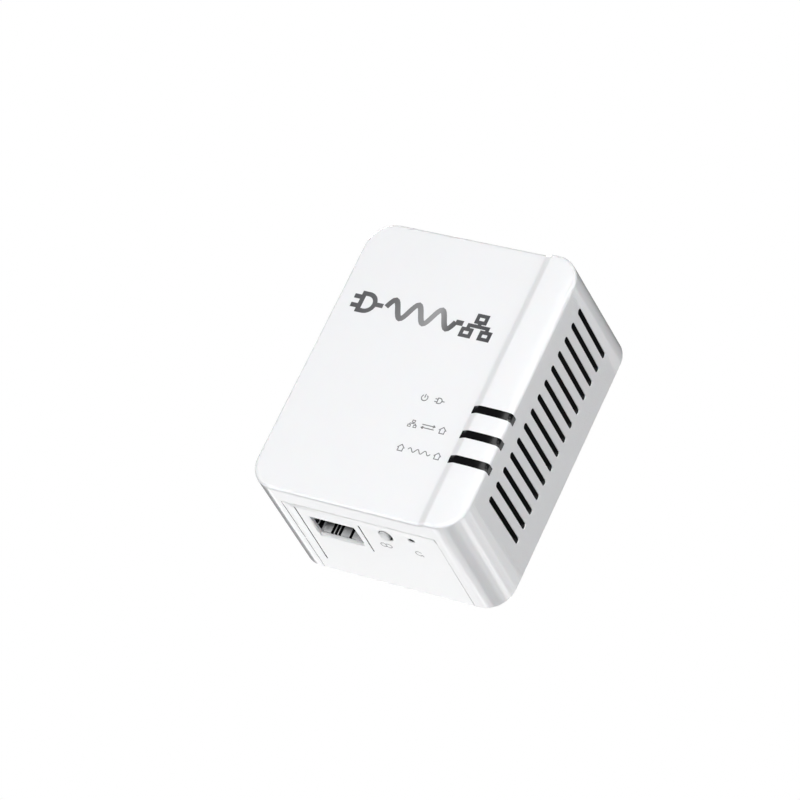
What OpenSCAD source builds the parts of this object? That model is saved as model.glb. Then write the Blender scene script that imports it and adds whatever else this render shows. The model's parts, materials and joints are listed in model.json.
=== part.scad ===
// Powerline adapter: a plug-in network adapter with an Ethernet socket in its lower face.
// Millimetres. +Z is up as it hangs in a wall outlet, the front faces -Y and +X is to the right
// as seen from the front. The origin is on the flat face that meets the outlet, midway between
// the two flat blades.

/* [Body] */
// Width of the body at its back edge
body_w = 58; // [56:0.5:62]
// Height of the body at its back edge
body_h = 77; // [75:0.5:80]
// Depth of the body from its main front face to its back edge
body_d = 36; // [35:0.5:38]
// Centre of the body below the blades
body_drop = 6; // [5:0.5:7]
// How much narrower the front is than the back, each side
taper_x = 0.16; // [0:0.02:0.4]
// How much lower the front is than the back, each end
taper_z = 1.0; // [0.4:0.1:1.4]
// Corner radius of the outline
corner_r = 7; // [6:0.5:7.5]
// Width of the small break around the front face
front_edge = 0.7; // [0.4:0.1:1.2]
// Side wall thickness
wall = 1.8; // [1.6:0.1:2]
// Front wall thickness
front_wall = 2.0; // [1.8:0.1:2.2]

/* [Raised strip] */
// Where the bevel leaves the main front face
strip_x = 18.4; // [17:0.2:19]
// Width of the bevel
bevel_w = 1.9; // [1.5:0.1:2.5]
// Height of the strip at the bevel
strip_rise = 1.0; // [0.6:0.1:1.2]
// Height of the strip at the right edge
strip_edge_rise = 0.65; // [0.4:0.05:0.8]

/* [Status windows] */
// Centre of the top window below the body centre
window_top = 6.15; // [5:0.05:7]
// Distance between windows
window_pitch = 6.76; // [6.5:0.02:7]
// Height of a window
window_h = 2.05; // [1.8:0.05:2.4]
// How far a window runs back along the side
window_wrap = 1.8; // [1.4:0.1:1.9]

/* [Vents] */
// Slots on each side
vent_count = 14; // [10:1:14]
// Distance between slots
vent_pitch = 4.0; // [3.8:0.1:4]
// Width of a slot
vent_w = 1.5; // [1:0.1:1.6]
// Height of the top slot above the body centre
vent_top = 28.2; // [27:0.2:28.4]
// Distance from the main front face to the slots
vent_front = 6.35; // [6:0.05:8]
// Length of a slot
vent_len = 20.9; // [18:0.05:21]

/* [Port panel] */
// Width of the port panel
panel_w = 42; // [41:0.5:43]
// Distance from the main front face to the panel
panel_front = 5.5; // [5:0.1:6]
// Depth of the sloping lead-in at the panel's front edge
panel_lead = 2.5; // [2:0.1:3]
// How far the front of the panel sits below the surface around it
panel_sink = 0.35; // [0.2:0.05:0.5]
// Centre of the Ethernet socket across the panel
jack_x = -9.2; // [-10:0.1:-8.5]
// Centre of the sync button across the panel
sync_x = 5.6; // [5:0.1:6]
// Centre of the reset hole across the panel
reset_x = 13.1; // [12.5:0.1:13.5]
// Diameter of the reset hole
reset_d = 1.4; // [1.2:0.1:1.6]
// Travel of the sync button
sync_travel = 0.4; // [0.3:0.05:0.5]
// Travel of the reset switch
reset_travel = 0.3; // [0.2:0.05:0.35]

/* [Plug] */
// How far the plug boss stands out of the back
boss_h = 6.6; // [5.5:0.1:7]
// Width of the plug boss
boss_w = 34; // [32:0.5:36]
// Height of the plug boss
boss_l = 34; // [32:0.5:36]
// Distance between the blades
blade_gap = 12.7; // [12.7:0.1:12.7]
// Width of a blade
blade_w = 6.35; // [6.2:0.05:6.5]
// Thickness of a blade
blade_t = 1.5; // [1.4:0.05:1.6]
// Length of a blade outside the wall face
blade_len = 17.5; // [16:0.5:18]
// Distance from the blades down to the ground pin
pin_drop = 11.9; // [11.9:0.1:11.9]
// Diameter of the ground pin
pin_d = 4.75; // [4.7:0.05:4.85]
// Length of the ground pin outside the wall face
pin_len = 21.4; // [20:0.2:21.4]

/* [Hidden] */

$fn = 48;

// Colours
WHITE = [0.94, 0.94, 0.95];
PALE = [0.86, 0.87, 0.88];
BLACK = [0.08, 0.08, 0.09];
BOARD_GREEN = [0.10, 0.36, 0.20];
METAL = [0.72, 0.73, 0.75];
BRASS = [0.80, 0.66, 0.36];
COPPER = [0.72, 0.42, 0.22];
FERRITE = [0.20, 0.20, 0.21];

// A small gap between neighbours that don't move on each other
gap = 0.1;
// Longer than any wall, for cutting
through = 20;

// Depths, from the wall face at 0 to the front
back_y = -boss_h;
front_y = back_y - body_d;
front_in = front_y + front_wall;
mid_z = -body_drop;

// Rear cover, set into the back edge
cover_t = 2.0;
cover_in = back_y - cover_t;
carrier_t = 2.6;
carrier_in = cover_in - carrier_t;
sheet_t = 0.4;

// Circuit boards
board_t = 1.6;
main_front = front_in + 5.2;
main_back = main_front + board_t;
main_w = 52.8;
main_h = 69.6;
power_back = -12.8;
power_front = power_back - board_t;
power_w = 51;
power_h = 69;

// Screw posts in the body's corners
post_x = 23;
post_z = 32.4;
post_r = 3;
screw_r = 1.0;
thread_gap = 0.02;
hole_r = 1.15;
POSTS = [for (sx = [-1, 1], sz = [-1, 1]) [sx * post_x, mid_z + sz * post_z]];
MAIN_SCREWS = [[-21.5, 16], [21.5, 16], [-21.5, -32], [20.5, -32]];
POWER_SCREWS = [[-14, 24.5], [20.5, -31]];

// Socket, button and reset hole, from the main front face
jack_y = front_y + 15;
sync_y = front_y + 10.7;
reset_y = front_y + 9.75;
jack_face = mid_z - 36.7;
jack_depth = 18.6;
jack_w = 15.1;
shield_t = 0.25;
cavity_w = 11.9;
cavity_h = 6.8;
cavity_depth = 14;
cavity_back = jack_y + 4;
cavity_front = cavity_back - cavity_h;
latch_w = 6.2;
latch_h = 1.25;
opening_w = 12.3;
opening_h = 8.4;
rail_t = 0.8;

jack_top = -20.8;
jack_peg_z = jack_face + 9;
// the four positions that a 10/100 link uses, out of eight
CONTACTS = [for (i = [0, 1, 2, 5]) jack_x + (i - 3.5) * 1.02];
// slots in the socket's side walls for the shield's ground springs
ground_slot_w = 1.8;
ground_slot_h = 7.5;
GROUND_SLOTS = [jack_y - 0.6, jack_y + 1.85];

// Plug: face of the boss, blade shoulders and tails, and the ground pin's steps
boss_face = 2.4;
shoulder_in = -6;
shoulder_w = 8.4;
tail_w = 4;
tail_end = power_front - 1.2;
root_r = 2.6;
flange_r = 3.6;
pin_tail_r = 1.5;

// Status lights
lens_x0 = 18;
lens_x1 = 26.6;
led_x = 23.6;

// Parts on the boards
cpu_x = -4;
cpu_z = -4;
link_z = 22;
LINK_PINS = [for (i = [0:5], s = [-1, 1]) [(i - 2.5) * 2.54, link_z + s * 1.27]];
choke_x = 1;
choke_z = 12;
choke_r = 6.5;
choke_y = power_front - 1;
core_x = 14;
core_z = -8.5;
core_y = power_front - 1;

// Where the switches' plungers end at rest, and how long they are
sync_rest = -39.6;
sync_len = 2.1;
reset_rest = -40.6;
reset_len = 2.4;
// Where the sync cap's wings lie, behind the panel
wing_z = -41.7;

// Height of the lower outer surface at depth y
function low_z(y) = mid_z - body_h / 2 + taper_z * (back_y - y) / body_d;
// Height of the port panel's outer face at depth y: sunk at its front, flush at the back edge
function panel_z(y) = low_z(y) + panel_sink * (back_y - y) / (back_y - front_y - panel_front);

// Centres of the status windows
function window_z(i) = mid_z - window_top - i * window_pitch;
lens_z0 = window_z(2) - 2.8;
lens_z1 = window_z(0) + 2.8;

// ---- shared shapes ----

// Rectangle with round corners, its centre at the origin
module rounded(w, h, r) {
    square([w - 2 * r, h], center = true);
    square([w, h - 2 * r], center = true);
    for (sx = [-1, 1], sz = [-1, 1])
        translate([sx * (w / 2 - r), sz * (h / 2 - r)]) circle(r);
}

// Upright plate from depth y0 to y1, its outline drawn in X and Z
module plate(y0, y1) {
    translate([0, y1, 0]) rotate([90, 0, 0]) linear_extrude(y1 - y0) children();
}

// Upright plate with a rounded outline, centred on the body
module body_plate(w, h, r, y0, y1) {
    plate(y0, y1) translate([0, mid_z]) rounded(w, h, r);
}

// Cylinder along Y from y0 to y1
module rod(x, z, r, y0, y1) {
    translate([x, y1, z]) rotate([90, 0, 0]) cylinder(r = r, h = y1 - y0);
}

// Block given by its corners
module block(x0, x1, y0, y1, z0, z1) {
    translate([x0, y0, z0]) cube([x1 - x0, y1 - y0, z1 - z0]);
}

// Block on a board: centre in X and Z, size in X and Z, and its two depths
module part_block(x, z, w, h, y0, y1) {
    block(x - w / 2, x + w / 2, y0, y1, z - h / 2, z + h / 2);
}

// Slot with round ends, w by l in X and Y, along Z
module slot(w, l, h) {
    linear_extrude(h) {
        square([w, l - w], center = true);
        for (s = [-1, 1])
            translate([0, s * (l - w) / 2]) circle(w / 2);
    }
}

// Chip with leads along two sides, or four when all_round is true
module chip(x, z, w, h, t, lead_count, all_round) {
    part_block(x, z, w, h, main_back + 0.12, main_back + t);
    lead = 0.32;
    for (i = [0:lead_count - 1]) {
        step = (i - (lead_count - 1) / 2) * (h - 1.2) / (lead_count - 1);
        for (s = [-1, 1]) {
            part_block(x + s * (w / 2 + 0.3), z + step, 0.8, lead, main_back, main_back + 0.35);
            if (all_round)
                part_block(x + step, z + s * (h / 2 + 0.3), lead, 0.8, main_back, main_back + 0.35);
        }
    }
}

// ---- body ----

module outer_form() {
    fw = body_w - 2 * taper_x;
    fh = body_h - 2 * taper_z;
    hull() {
        body_plate(fw - 2 * front_edge, fh - 2 * front_edge, corner_r - front_edge,
                   front_y, front_y + 0.01);
        body_plate(fw, fh, corner_r, front_y + front_edge, front_y + front_edge + 0.01);
        body_plate(body_w, body_h, corner_r, back_y - 0.01, back_y);
    }
}

module inner_form() {
    fw = body_w - 2 * taper_x - 2 * wall;
    fh = body_h - 2 * taper_z - 2 * wall;
    hull() {
        body_plate(fw, fh, corner_r - wall, front_in, front_in + 0.01);
        body_plate(body_w - 2 * wall, body_h - 2 * wall, corner_r - wall, back_y, back_y + 1);
    }
}

// Section of the raised strip on the right of the front face
module strip_section() {
    edge = body_w / 2 - taper_x;
    polygon([
        [strip_x, front_y + 0.4],
        [strip_x, front_y],
        [strip_x + bevel_w, front_y - strip_rise],
        [edge - front_edge, front_y - strip_edge_rise],
        [edge, front_y - strip_edge_rise + front_edge],
        [edge, front_y + front_edge],
        [edge - front_edge, front_y + 0.4]
    ]);
}

module raised_strip() {
    intersection() {
        translate([0, 0, mid_z - body_h / 2]) linear_extrude(body_h) strip_section();
        body_plate(body_w - 2 * taper_x, body_h - 2 * taper_z, corner_r, front_y - 2, front_y + 1);
    }
}

module vent_slots() {
    for (i = [0:vent_count - 1], s = [-1, 1])
        translate([s * body_w / 2, front_y + vent_front + vent_len / 2,
                   mid_z + vent_top - i * vent_pitch])
            rotate([0, 90, 0])
                translate([0, 0, -3]) slot(vent_w, vent_len, 6);
}

// One window's cut through the front wall and round onto the side, grown by g all round
module window_cut(i, g) {
    z = window_z(i);
    h = window_h / 2 + g;
    inner = body_w / 2 - wall - 0.5;
    block(strip_x + 0.05 - g, inner, front_y - 5, front_in + 0.5, z - h, z + h);
    block(inner - 0.01, body_w, front_y - 5, front_y + window_wrap + g, z - h, z + h);
}

module screw_posts() {
    for (p = POSTS) {
        rod(p[0], p[1], post_r, front_in - 0.5, cover_in);
        // webs to the side wall and to the end wall
        s = sign(p[0]);
        e = sign(p[1] - mid_z);
        reach = body_w / 2 - wall + 0.5;
        translate([p[0] + s * (reach - post_x) / 2, (front_in + cover_in) / 2, p[1]])
            cube([reach - post_x, cover_in - front_in, 1.2], center = true);
        rise = body_h / 2 - wall + 0.2 - post_z;
        translate([p[0], (front_in + cover_in) / 2, p[1] + e * rise / 2])
            cube([1.2, cover_in - front_in, rise], center = true);
    }
    for (p = MAIN_SCREWS)
        rod(p[0], p[1], 2.4, front_in - 0.5, main_front);
}

module front_shell() {
    color(WHITE) difference() {
        union() {
            difference() {
                union() {
                    outer_form();
                    raised_strip();
                }
                inner_form();
            }
            screw_posts();
        }
        vent_slots();
        for (i = [0:2]) window_cut(i, 0);
        // opening for the port panel, open to the back edge
        block(-panel_w / 2, panel_w / 2, front_y + panel_front, back_y + 1,
              mid_z - body_h, mid_z - body_h / 2 + 3.6);
        for (p = POSTS)
            rod(p[0], p[1], screw_r + thread_gap, cover_in - 12, cover_in + 1);
        for (p = MAIN_SCREWS)
            rod(p[0], p[1], screw_r + thread_gap, main_front - 4.6, main_front + 1);
    }
}

// Section of the port panel, drawn in Y and Z
module panel_section() {
    y0 = front_y + panel_front + gap;
    y1 = y0 + panel_lead;
    polygon([
        [y0, low_z(y0)],
        [y1, panel_z(y1)],
        [back_y, panel_z(back_y)],
        [back_y, low_z(back_y) + wall + gap],
        [y0, low_z(y0) + wall + gap]
    ]);
}

// Extrudes a section drawn in Y and Z across X, centred
module across(w) {
    translate([-w / 2, 0, 0]) rotate([90, 0, 90]) linear_extrude(w) children();
}

module port_panel() {
    half = panel_w / 2 - gap;
    lip_z = low_z(front_y + panel_front) + wall + gap;
    color(WHITE) difference() {
        union() {
            across(2 * half) panel_section();
            // rails and a front lip that hook behind the body's edges
            for (s = [-1, 1])
                translate([s * (half - 0.75), 0, 0]) across(2.4) rail_section();
            block(-half, half, front_y + panel_front - 0.9, front_y + panel_front + 1,
                  lip_z, lip_z + rail_t);
        }
        translate([jack_x, jack_y, low_z(jack_y) - 3])
            linear_extrude(8) square([opening_w, opening_h], center = true);
        // pocket that brings the socket's face close to the outer surface
        block(jack_x - jack_w / 2 - shield_t - gap, jack_x + jack_w / 2 + shield_t + gap,
              main_back - gap, jack_top + shield_t + gap, jack_face - gap, jack_face + 5);
        translate([sync_x, sync_y, low_z(sync_y) - 3]) slot(2.9, 4.1, 8);
        translate([reset_x, reset_y, low_z(reset_y) - 3]) cylinder(d = reset_d, h = 8);
        // fine grooves beside the socket
        groove(jack_x - 9, front_y + 7.4, 23.6);
        groove(jack_x + 8.1, front_y + 9, 11.6);
    }
}

module rail_section() {
    y0 = front_y + panel_front - 0.9;
    y1 = cover_in - 0.3;
    inner = wall + gap;
    polygon([
        [y0, low_z(y0) + inner - 0.02],
        [y1, low_z(y1) + inner - 0.02],
        [y1, low_z(y1) + inner + rail_t],
        [y0, low_z(y0) + inner + rail_t]
    ]);
}

// Shallow groove in the outer face of the panel
module groove(x, y, l) {
    block(x - 0.2, x + 0.2, y, y + l, low_z(y) - 1, panel_z(y + l / 2) + 0.25);
}

module rear_cover() {
    color(WHITE) difference() {
        union() {
            body_plate(body_w - 2 * wall - 0.5, body_h - 2 * wall - 0.5, corner_r - wall,
                       cover_in, back_y);
            body_plate(boss_w, boss_l, 8, back_y - 0.1, 0);
            for (p = POWER_SCREWS)
                rod(p[0], p[1], 2.3, power_back, cover_in + 0.5);
        }
        // hollow behind the boss face
        body_plate(boss_w - 4, boss_l - 4, 6, cover_in - 1, -boss_face);
        for (s = [-1, 1])
            part_block(s * blade_gap / 2, 0, blade_t + 0.1, blade_w + 0.1, -boss_face - 1, 1);
        rod(0, -pin_drop, root_r + 0.05, -boss_face - 1, 1);
        for (p = POSTS) {
            rod(p[0], p[1], 1.3, cover_in - 1, back_y + 1);
            rod(p[0], p[1], 2.4, back_y - 1.2, back_y + 1);
        }
        for (p = POWER_SCREWS)
            rod(p[0], p[1], screw_r + thread_gap, power_back - 1, back_y - 0.6);
    }
}

module rating_label() {
    color(PALE) plate(back_y, back_y + 0.12) translate([0, 19.5]) rounded(28, 11, 1);
}

// ---- plug ----

// Moulding that fills the boss and holds the blades' shoulders
module blade_carrier() {
    color(BLACK) difference() {
        union() {
            body_plate(boss_w + 1, boss_l + 1, 6, carrier_in, cover_in - 0.05);
            body_plate(boss_w - 4.6, boss_l - 4.6, 5.7, cover_in - 0.1, -boss_face - 0.05);
        }
        for (s = [-1, 1]) {
            part_block(s * blade_gap / 2, 0, blade_t + 0.1, shoulder_w + 0.1, shoulder_in - 0.05, 0);
            part_block(s * blade_gap / 2, 0, blade_t + 0.1, tail_w + 0.1, carrier_in - 1, 0);
        }
        rod(0, -pin_drop, flange_r + 0.1, shoulder_in - 0.05, 0);
        rod(0, -pin_drop, pin_tail_r + 0.1, carrier_in - 1, 0);
    }
}

// Flat blade with a chamfered tip, a shoulder and a narrow tail that reaches the power board
module blade(x) {
    w = blade_w / 2;
    sw = shoulder_w / 2;
    tw = tail_w / 2;
    difference() {
        translate([x, 0, 0]) across(blade_t)
            polygon([
                [tail_end, -tw], [shoulder_in, -tw], [shoulder_in, -sw], [-boss_face - 0.05, -sw],
                [-boss_face - 0.05, -w], [blade_len - 1.6, -w], [blade_len, -w + 1.3],
                [blade_len, w - 1.3], [blade_len - 1.6, w], [-boss_face - 0.05, w],
                [-boss_face - 0.05, sw], [shoulder_in, sw], [shoulder_in, tw], [tail_end, tw]
            ]);
        translate([x - 2, 11.7, 0]) rotate([0, 90, 0]) cylinder(d = 3.2, h = 4);
    }
}

module line_blade() {
    color(BRASS) blade(blade_gap / 2);
}

module neutral_blade() {
    color(BRASS) blade(-blade_gap / 2);
}

module ground_pin() {
    r = pin_d / 2;
    color(BRASS) {
        rod(0, -pin_drop, r, -0.5, pin_len - r);
        translate([0, pin_len - r, -pin_drop]) sphere(r);
        rod(0, -pin_drop, root_r, -boss_face - 0.1, 0);
        rod(0, -pin_drop, flange_r, shoulder_in, -boss_face - 0.05);
        rod(0, -pin_drop, pin_tail_r, tail_end, shoulder_in + 0.1);
    }
}

module insulating_sheet() {
    color(PALE) difference() {
        plate(carrier_in - 0.05 - sheet_t, carrier_in - 0.05) translate([0, mid_z]) rounded(38, 58, 2);
        for (s = [-1, 1])
            part_block(s * blade_gap / 2, 0, 3, tail_w + 2, -through, 0);
        rod(0, -pin_drop, pin_tail_r + 1, -through, 0);
        for (p = POWER_SCREWS) rod(p[0], p[1], 2.7, -through, 0);
    }
}

// ---- status lights ----

// Dark windows on a common strip behind the front wall
module status_lens() {
    edge = body_w / 2 - taper_x;
    x0 = strip_x + 0.15;
    x1 = body_w / 2 - wall - 0.5;
    rise = strip_rise * 0.15 / bevel_w;
    h = window_h - 2 * 0.06;
    color(BLACK) {
        for (i = [0:2])
            translate([0, 0, window_z(i) - h / 2]) linear_extrude(h)
                polygon([
                    [x0, front_in + 0.2],
                    [x0, front_y - rise],
                    [strip_x + bevel_w, front_y - strip_rise],
                    [edge - front_edge, front_y - strip_edge_rise],
                    [edge, front_y - strip_edge_rise + front_edge],
                    [edge, front_y + window_wrap - gap],
                    [x1 - gap, front_y + window_wrap - gap],
                    [x1 - gap, front_in + 0.2]
                ]);
        block(lens_x0, lens_x1, front_in + gap, front_in + 1.1, lens_z0, lens_z1);
    }
}

// Opaque block that keeps each light to its own window
module light_shield() {
    color(BLACK) difference() {
        block(lens_x0, lens_x1, front_in + 1.2, main_front - gap, lens_z0, lens_z1);
        for (i = [0:2])
            part_block(led_x, window_z(i), 4.6, 4.4, front_in, main_front + 1);
    }
}

module led(i) {
    color("gold") difference() {
        part_block(led_x, window_z(i), 3.5, 2.8, main_front - 1.9, main_front);
        rod(led_x, window_z(i), 1.15, main_front - 2.5, main_front - 1.6);
    }
}

module power_led() { led(0); }
module ethernet_led() { led(1); }
module powerline_led() { led(2); }

// ---- circuit boards ----

// Board outline with its corners cut away round the screw posts
module board(w, h, z, y0, y1) {
    difference() {
        plate(y0, y1) translate([0, z]) rounded(w, h, 1);
        for (p = POSTS) {
            rod(p[0], p[1], post_r + 0.5, y0 - 1, y1 + 1);
            // everything between the post and the corner
            s = sign(p[0]);
            e = sign(p[1] - mid_z);
            part_block(p[0] + s * 4, p[1] + e * 4, 10.2, 10.2, y0 - 1, y1 + 1);
        }
    }
}

module main_board() {
    color(BOARD_GREEN) difference() {
        board(main_w, main_h, mid_z, main_front, main_back);
        for (p = MAIN_SCREWS) rod(p[0], p[1], hole_r, main_front - 1, main_back + 1);
        for (s = [-1, 1]) rod(jack_x + s * 5.7, jack_peg_z, 1.7, main_front - 1, main_back + 1);
    }
}

module power_board() {
    color(BOARD_GREEN) difference() {
        board(power_w, power_h, mid_z, power_front, power_back);
        for (p = POWER_SCREWS) rod(p[0], p[1], hole_r, power_front - 1, power_back + 1);
        for (s = [-1, 1])
            part_block(s * blade_gap / 2, 0, blade_t + 0.3, tail_w + 0.4,
                       power_front - 1, power_back + 1);
        rod(0, -pin_drop, pin_tail_r + 0.15, power_front - 1, power_back + 1);
        for (p = LINK_PINS) rod(p[0], p[1], 0.5, power_front - 1, power_back + 1);
    }
}

// ---- Ethernet socket ----

module jack_housing() {
    color(PALE) difference() {
        union() {
            block(jack_x - jack_w / 2, jack_x + jack_w / 2, main_back, jack_top,
                  jack_face, jack_face + jack_depth);
            for (s = [-1, 1]) rod(jack_x + s * 5.7, jack_peg_z, 1.6, main_front - 0.4, main_back + 0.5);
        }
        // plug cavity
        block(jack_x - cavity_w / 2, jack_x + cavity_w / 2, cavity_front, cavity_back,
              jack_face - 1, jack_face + cavity_depth);
        // channel for the plug's latch
        block(jack_x - latch_w / 2, jack_x + latch_w / 2, cavity_front - latch_h, cavity_front + 1,
              jack_face - 1, jack_face + 9);
        // comb of contact channels
        for (x = CONTACTS)
            block(x - 0.35, x + 0.35, cavity_back - 1, cavity_back + 1.1,
                  jack_face - 1, jack_face + cavity_depth);
        for (y = GROUND_SLOTS)
            block(jack_x - jack_w, jack_x + jack_w, y - ground_slot_w / 2, y + ground_slot_w / 2,
                  jack_face - 1, jack_face + ground_slot_h);
    }
}

module jack_shield() {
    x = jack_w / 2;
    color(METAL) {
        difference() {
            block(jack_x - x - shield_t, jack_x + x + shield_t, main_back, jack_top + shield_t,
                  jack_face, jack_face + jack_depth + shield_t);
            block(jack_x - x - 0.02, jack_x + x + 0.02, main_back - 1, jack_top + 0.02,
                  jack_face - 1, jack_face + jack_depth + 0.02);
        }
        // ground springs, pressed inwards in the middle of each slot
        for (y = GROUND_SLOTS, s = [-1, 1])
            translate([jack_x, y + 0.5, 0]) rotate([90, 0, 0]) linear_extrude(1)
                polygon([
                    [s * (x + shield_t), jack_face + 2], [s * (x - 0.9), jack_face + 4],
                    [s * (x + shield_t), jack_face + 6.5], [s * (x + 0.02), jack_face + 6.5],
                    [s * (x - 1.2), jack_face + 4], [s * (x + 0.02), jack_face + 2]
                ]);
    }
}

// Sprung contact: up its channel, then folded back down into the plug cavity
module jack_contacts() {
    y = cavity_back + 0.95;
    z = jack_face + 3.2;
    top = jack_face + cavity_depth - 0.3;
    t = 0.3;
    color(BRASS) for (x = CONTACTS)
        translate([x, 0, 0]) across(0.4)
            polygon([
                [y, top], [y, z], [y - t, z - t],
                [y - t - 0.2, z - t], [y - 2.4, z + 6.5], [y - 2.1, z + 6.7],
                [y - t, z + 1.2], [y - t, top]
            ]);
}

module lan_transformer() { color(BLACK) chip(-8.2, -17.8, 12.7, 8, 4, 7, false); }
module processor() { color(BLACK) chip(cpu_x, cpu_z, 14, 14, 1.4, 16, true); }
module memory_chip() { color(BLACK) chip(-14, 10, 9, 12, 1.1, 12, false); }
module flash_chip() { color(BLACK) chip(-21, -4, 5.2, 5, 1.7, 4, false); }
module ethernet_chip() { color(BLACK) chip(-19.5, -13, 6, 6, 1, 8, true); }
module line_driver() { color(BLACK) chip(11, -9, 7, 7, 1, 8, true); }

module thermal_pad() {
    color([0.5, 0.6, 0.7]) part_block(cpu_x, cpu_z, 12, 12, main_back + 1.4, main_back + 1.9);
}

module heat_sink() {
    fins = 7;
    w = 14;
    color(METAL) {
        part_block(cpu_x, cpu_z, w, w, main_back + 1.9, main_back + 3.2);
        for (i = [0:fins - 1])
            part_block(cpu_x + (i / (fins - 1) - 0.5) * (w - 0.9), cpu_z, 0.9, w,
                       main_back + 3.1, main_back + 7);
    }
}

module crystal() {
    color(METAL) translate([10.5, main_back + 3.4, 3]) rotate([90, 90, 0]) slot(4.6, 11, 3.4);
}

module power_inductor() {
    color(FERRITE) {
        plate(main_back, main_back + 0.8) translate([18.5, -18]) rounded(7, 7, 0.6);
        rod(18.5, -18, 2.6, main_back + 0.7, main_back + 2.6);
        rod(18.5, -18, 3.4, main_back + 2.5, main_back + 3.2);
    }
}

// Rows of small resistors and capacitors
module surface_mount_parts() {
    color([0.55, 0.45, 0.35]) {
        for (x = [-6:3:12]) part_block(x, 16.8, 0.85, 1.6, main_back, main_back + 0.6);
        for (x = [2:3:17], z = [-26, -29.5]) part_block(x, z, 1.6, 0.85, main_back, main_back + 0.6);
        for (z = [-10:3:11]) part_block(23.6, z, 1.6, 0.85, main_back, main_back + 0.6);
        for (z = [6:3:12]) part_block(-3, z, 1.6, 0.85, main_back, main_back + 0.6);
    }
}

// ---- link between the boards ----

module link_socket() {
    color(BLACK) difference() {
        part_block(0, link_z, 15.2, 5, main_back, main_back + 8.5);
        for (p = LINK_PINS) part_block(p[0], p[1], 0.8, 0.8, main_back + 1, main_back + 9);
    }
}

module link_header() {
    color(BLACK) difference() {
        part_block(0, link_z, 15.2, 5, power_front - 2.5, power_front);
        for (p = LINK_PINS) part_block(p[0], p[1], 0.7, 0.7, power_front - 3, power_front + 1);
    }
}

module link_pins() {
    color(BRASS) for (p = LINK_PINS)
        part_block(p[0], p[1], 0.64, 0.64, main_back + 3, power_back + 0.5);
}

// ---- power supply ----

// Disc on two leads, standing on the power board, its faces to the sides
module disc_part(x, z, d, t) {
    y = power_front - 1 - d / 2;
    translate([x - t / 2, y, z]) rotate([0, 90, 0]) cylinder(d = d, h = t);
    for (s = [-1, 1]) rod(x, z + s * d / 4, 0.35, y, power_front);
}

// Electrolytic capacitor with a rolled groove and a scored vent
module can_capacitor(x, z, r, l) {
    difference() {
        rod(x, z, r, power_front - l, power_front);
        difference() {
            rod(x, z, r + 1, power_front - 2.6, power_front - 1.8);
            rod(x, z, r - 0.4, power_front - 3, power_front);
        }
        part_block(x, z, r, 0.3, power_front - l - 1, power_front - l + 0.2);
        part_block(x, z, 0.3, r, power_front - l - 1, power_front - l + 0.2);
    }
}

module fuse() {
    color([0.35, 0.2, 0.12]) {
        rod(-20.5, 4, 4.2, power_front - 7.6, power_front - 0.6);
        for (s = [-1, 1]) rod(-20.5 + s * 2.5, 4, 0.35, power_front - 1, power_front);
    }
}

module varistor() { color([0.15, 0.3, 0.6]) disc_part(-20.5, -8, 9, 4); }
module safety_capacitor() { color([0.2, 0.45, 0.75]) disc_part(4, -21, 7, 3); }
module upper_bulk_capacitor() { color([0.12, 0.14, 0.2]) can_capacitor(15.5, 20.5, 5, 16); }
module lower_bulk_capacitor() { color([0.12, 0.14, 0.2]) can_capacitor(15.5, 9, 5, 16); }
module output_capacitor() { color([0.12, 0.2, 0.16]) can_capacitor(14, -23.5, 4, 12); }

module x_capacitor() {
    color([0.85, 0.7, 0.2]) part_block(-16, 15.5, 13, 6, power_front - 12, power_front);
}

module choke_core() {
    color(FERRITE) difference() {
        rod(choke_x, choke_z, choke_r, choke_y - 6, choke_y);
        rod(choke_x, choke_z, choke_r - 3, choke_y - 7, choke_y + 1);
    }
}

// Two windings, one on each side of the ring
module choke_windings() {
    w = 0.6;
    color(COPPER) for (s = [0, 180])
        translate([choke_x, choke_y + w, choke_z]) rotate([90, 0, 0]) rotate([0, 0, s - 60])
            rotate_extrude(angle = 120) difference() {
                translate([choke_r - 3 - w, 0]) square([3 + 2 * w, 6 + 2 * w]);
                translate([choke_r - 3.03, w - 0.03]) square([3.06, 6.06]);
            }
}

module bridge_rectifier() {
    color(BLACK) {
        part_block(-7.5, -19, 8, 6.4, power_front - 2.8, power_front - 0.2);
        for (s = [-1, 1], t = [-1, 1])
            part_block(-7.5 + s * 4.2, -19 + t * 2.4, 0.8, 0.9, power_front - 1.2, power_front);
    }
}

module transformer_core() {
    color(FERRITE) difference() {
        part_block(core_x, core_z, 16, 5, core_y - 13, core_y);
        for (s = [-1, 1])
            part_block(core_x + s * 4, core_z, 3.2, 6, core_y - 10.8, core_y - 2.2);
    }
}

module transformer_bobbin() {
    leg_x = 5.0;
    leg_z = 5.2;
    color([0.25, 0.25, 0.27]) difference() {
        union() {
            for (y = [core_y - 10.7, core_y - 3.1])
                part_block(core_x, core_z, 11, 13, y, y + 0.8);
            part_block(core_x, core_z, leg_x + 1.2, leg_z + 1.4, core_y - 10.2, core_y - 2.6);
            // feet beside the core, down to the board
            for (s = [-1, 1])
                part_block(core_x, core_z + s * 4.8, 11, 3.4, core_y - 2.8, power_front);
        }
        part_block(core_x, core_z, leg_x, leg_z, core_y - 12, core_y + 0.4);
    }
}

module transformer_winding() {
    color(COPPER) difference() {
        plate(core_y - 9.8, core_y - 3.2) translate([core_x, core_z]) rounded(10.6, 12, 1.5);
        part_block(core_x, core_z, 6.3, 6.7, core_y - 12, core_y);
    }
}

module coupling_transformer() {
    color([0.9, 0.85, 0.4]) {
        part_block(-18, -19.5, 9, 8, power_front - 6.4, power_front - 1);
        part_block(-18, -19.5, 10, 6, power_front - 1.5, power_front);
    }
}

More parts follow.
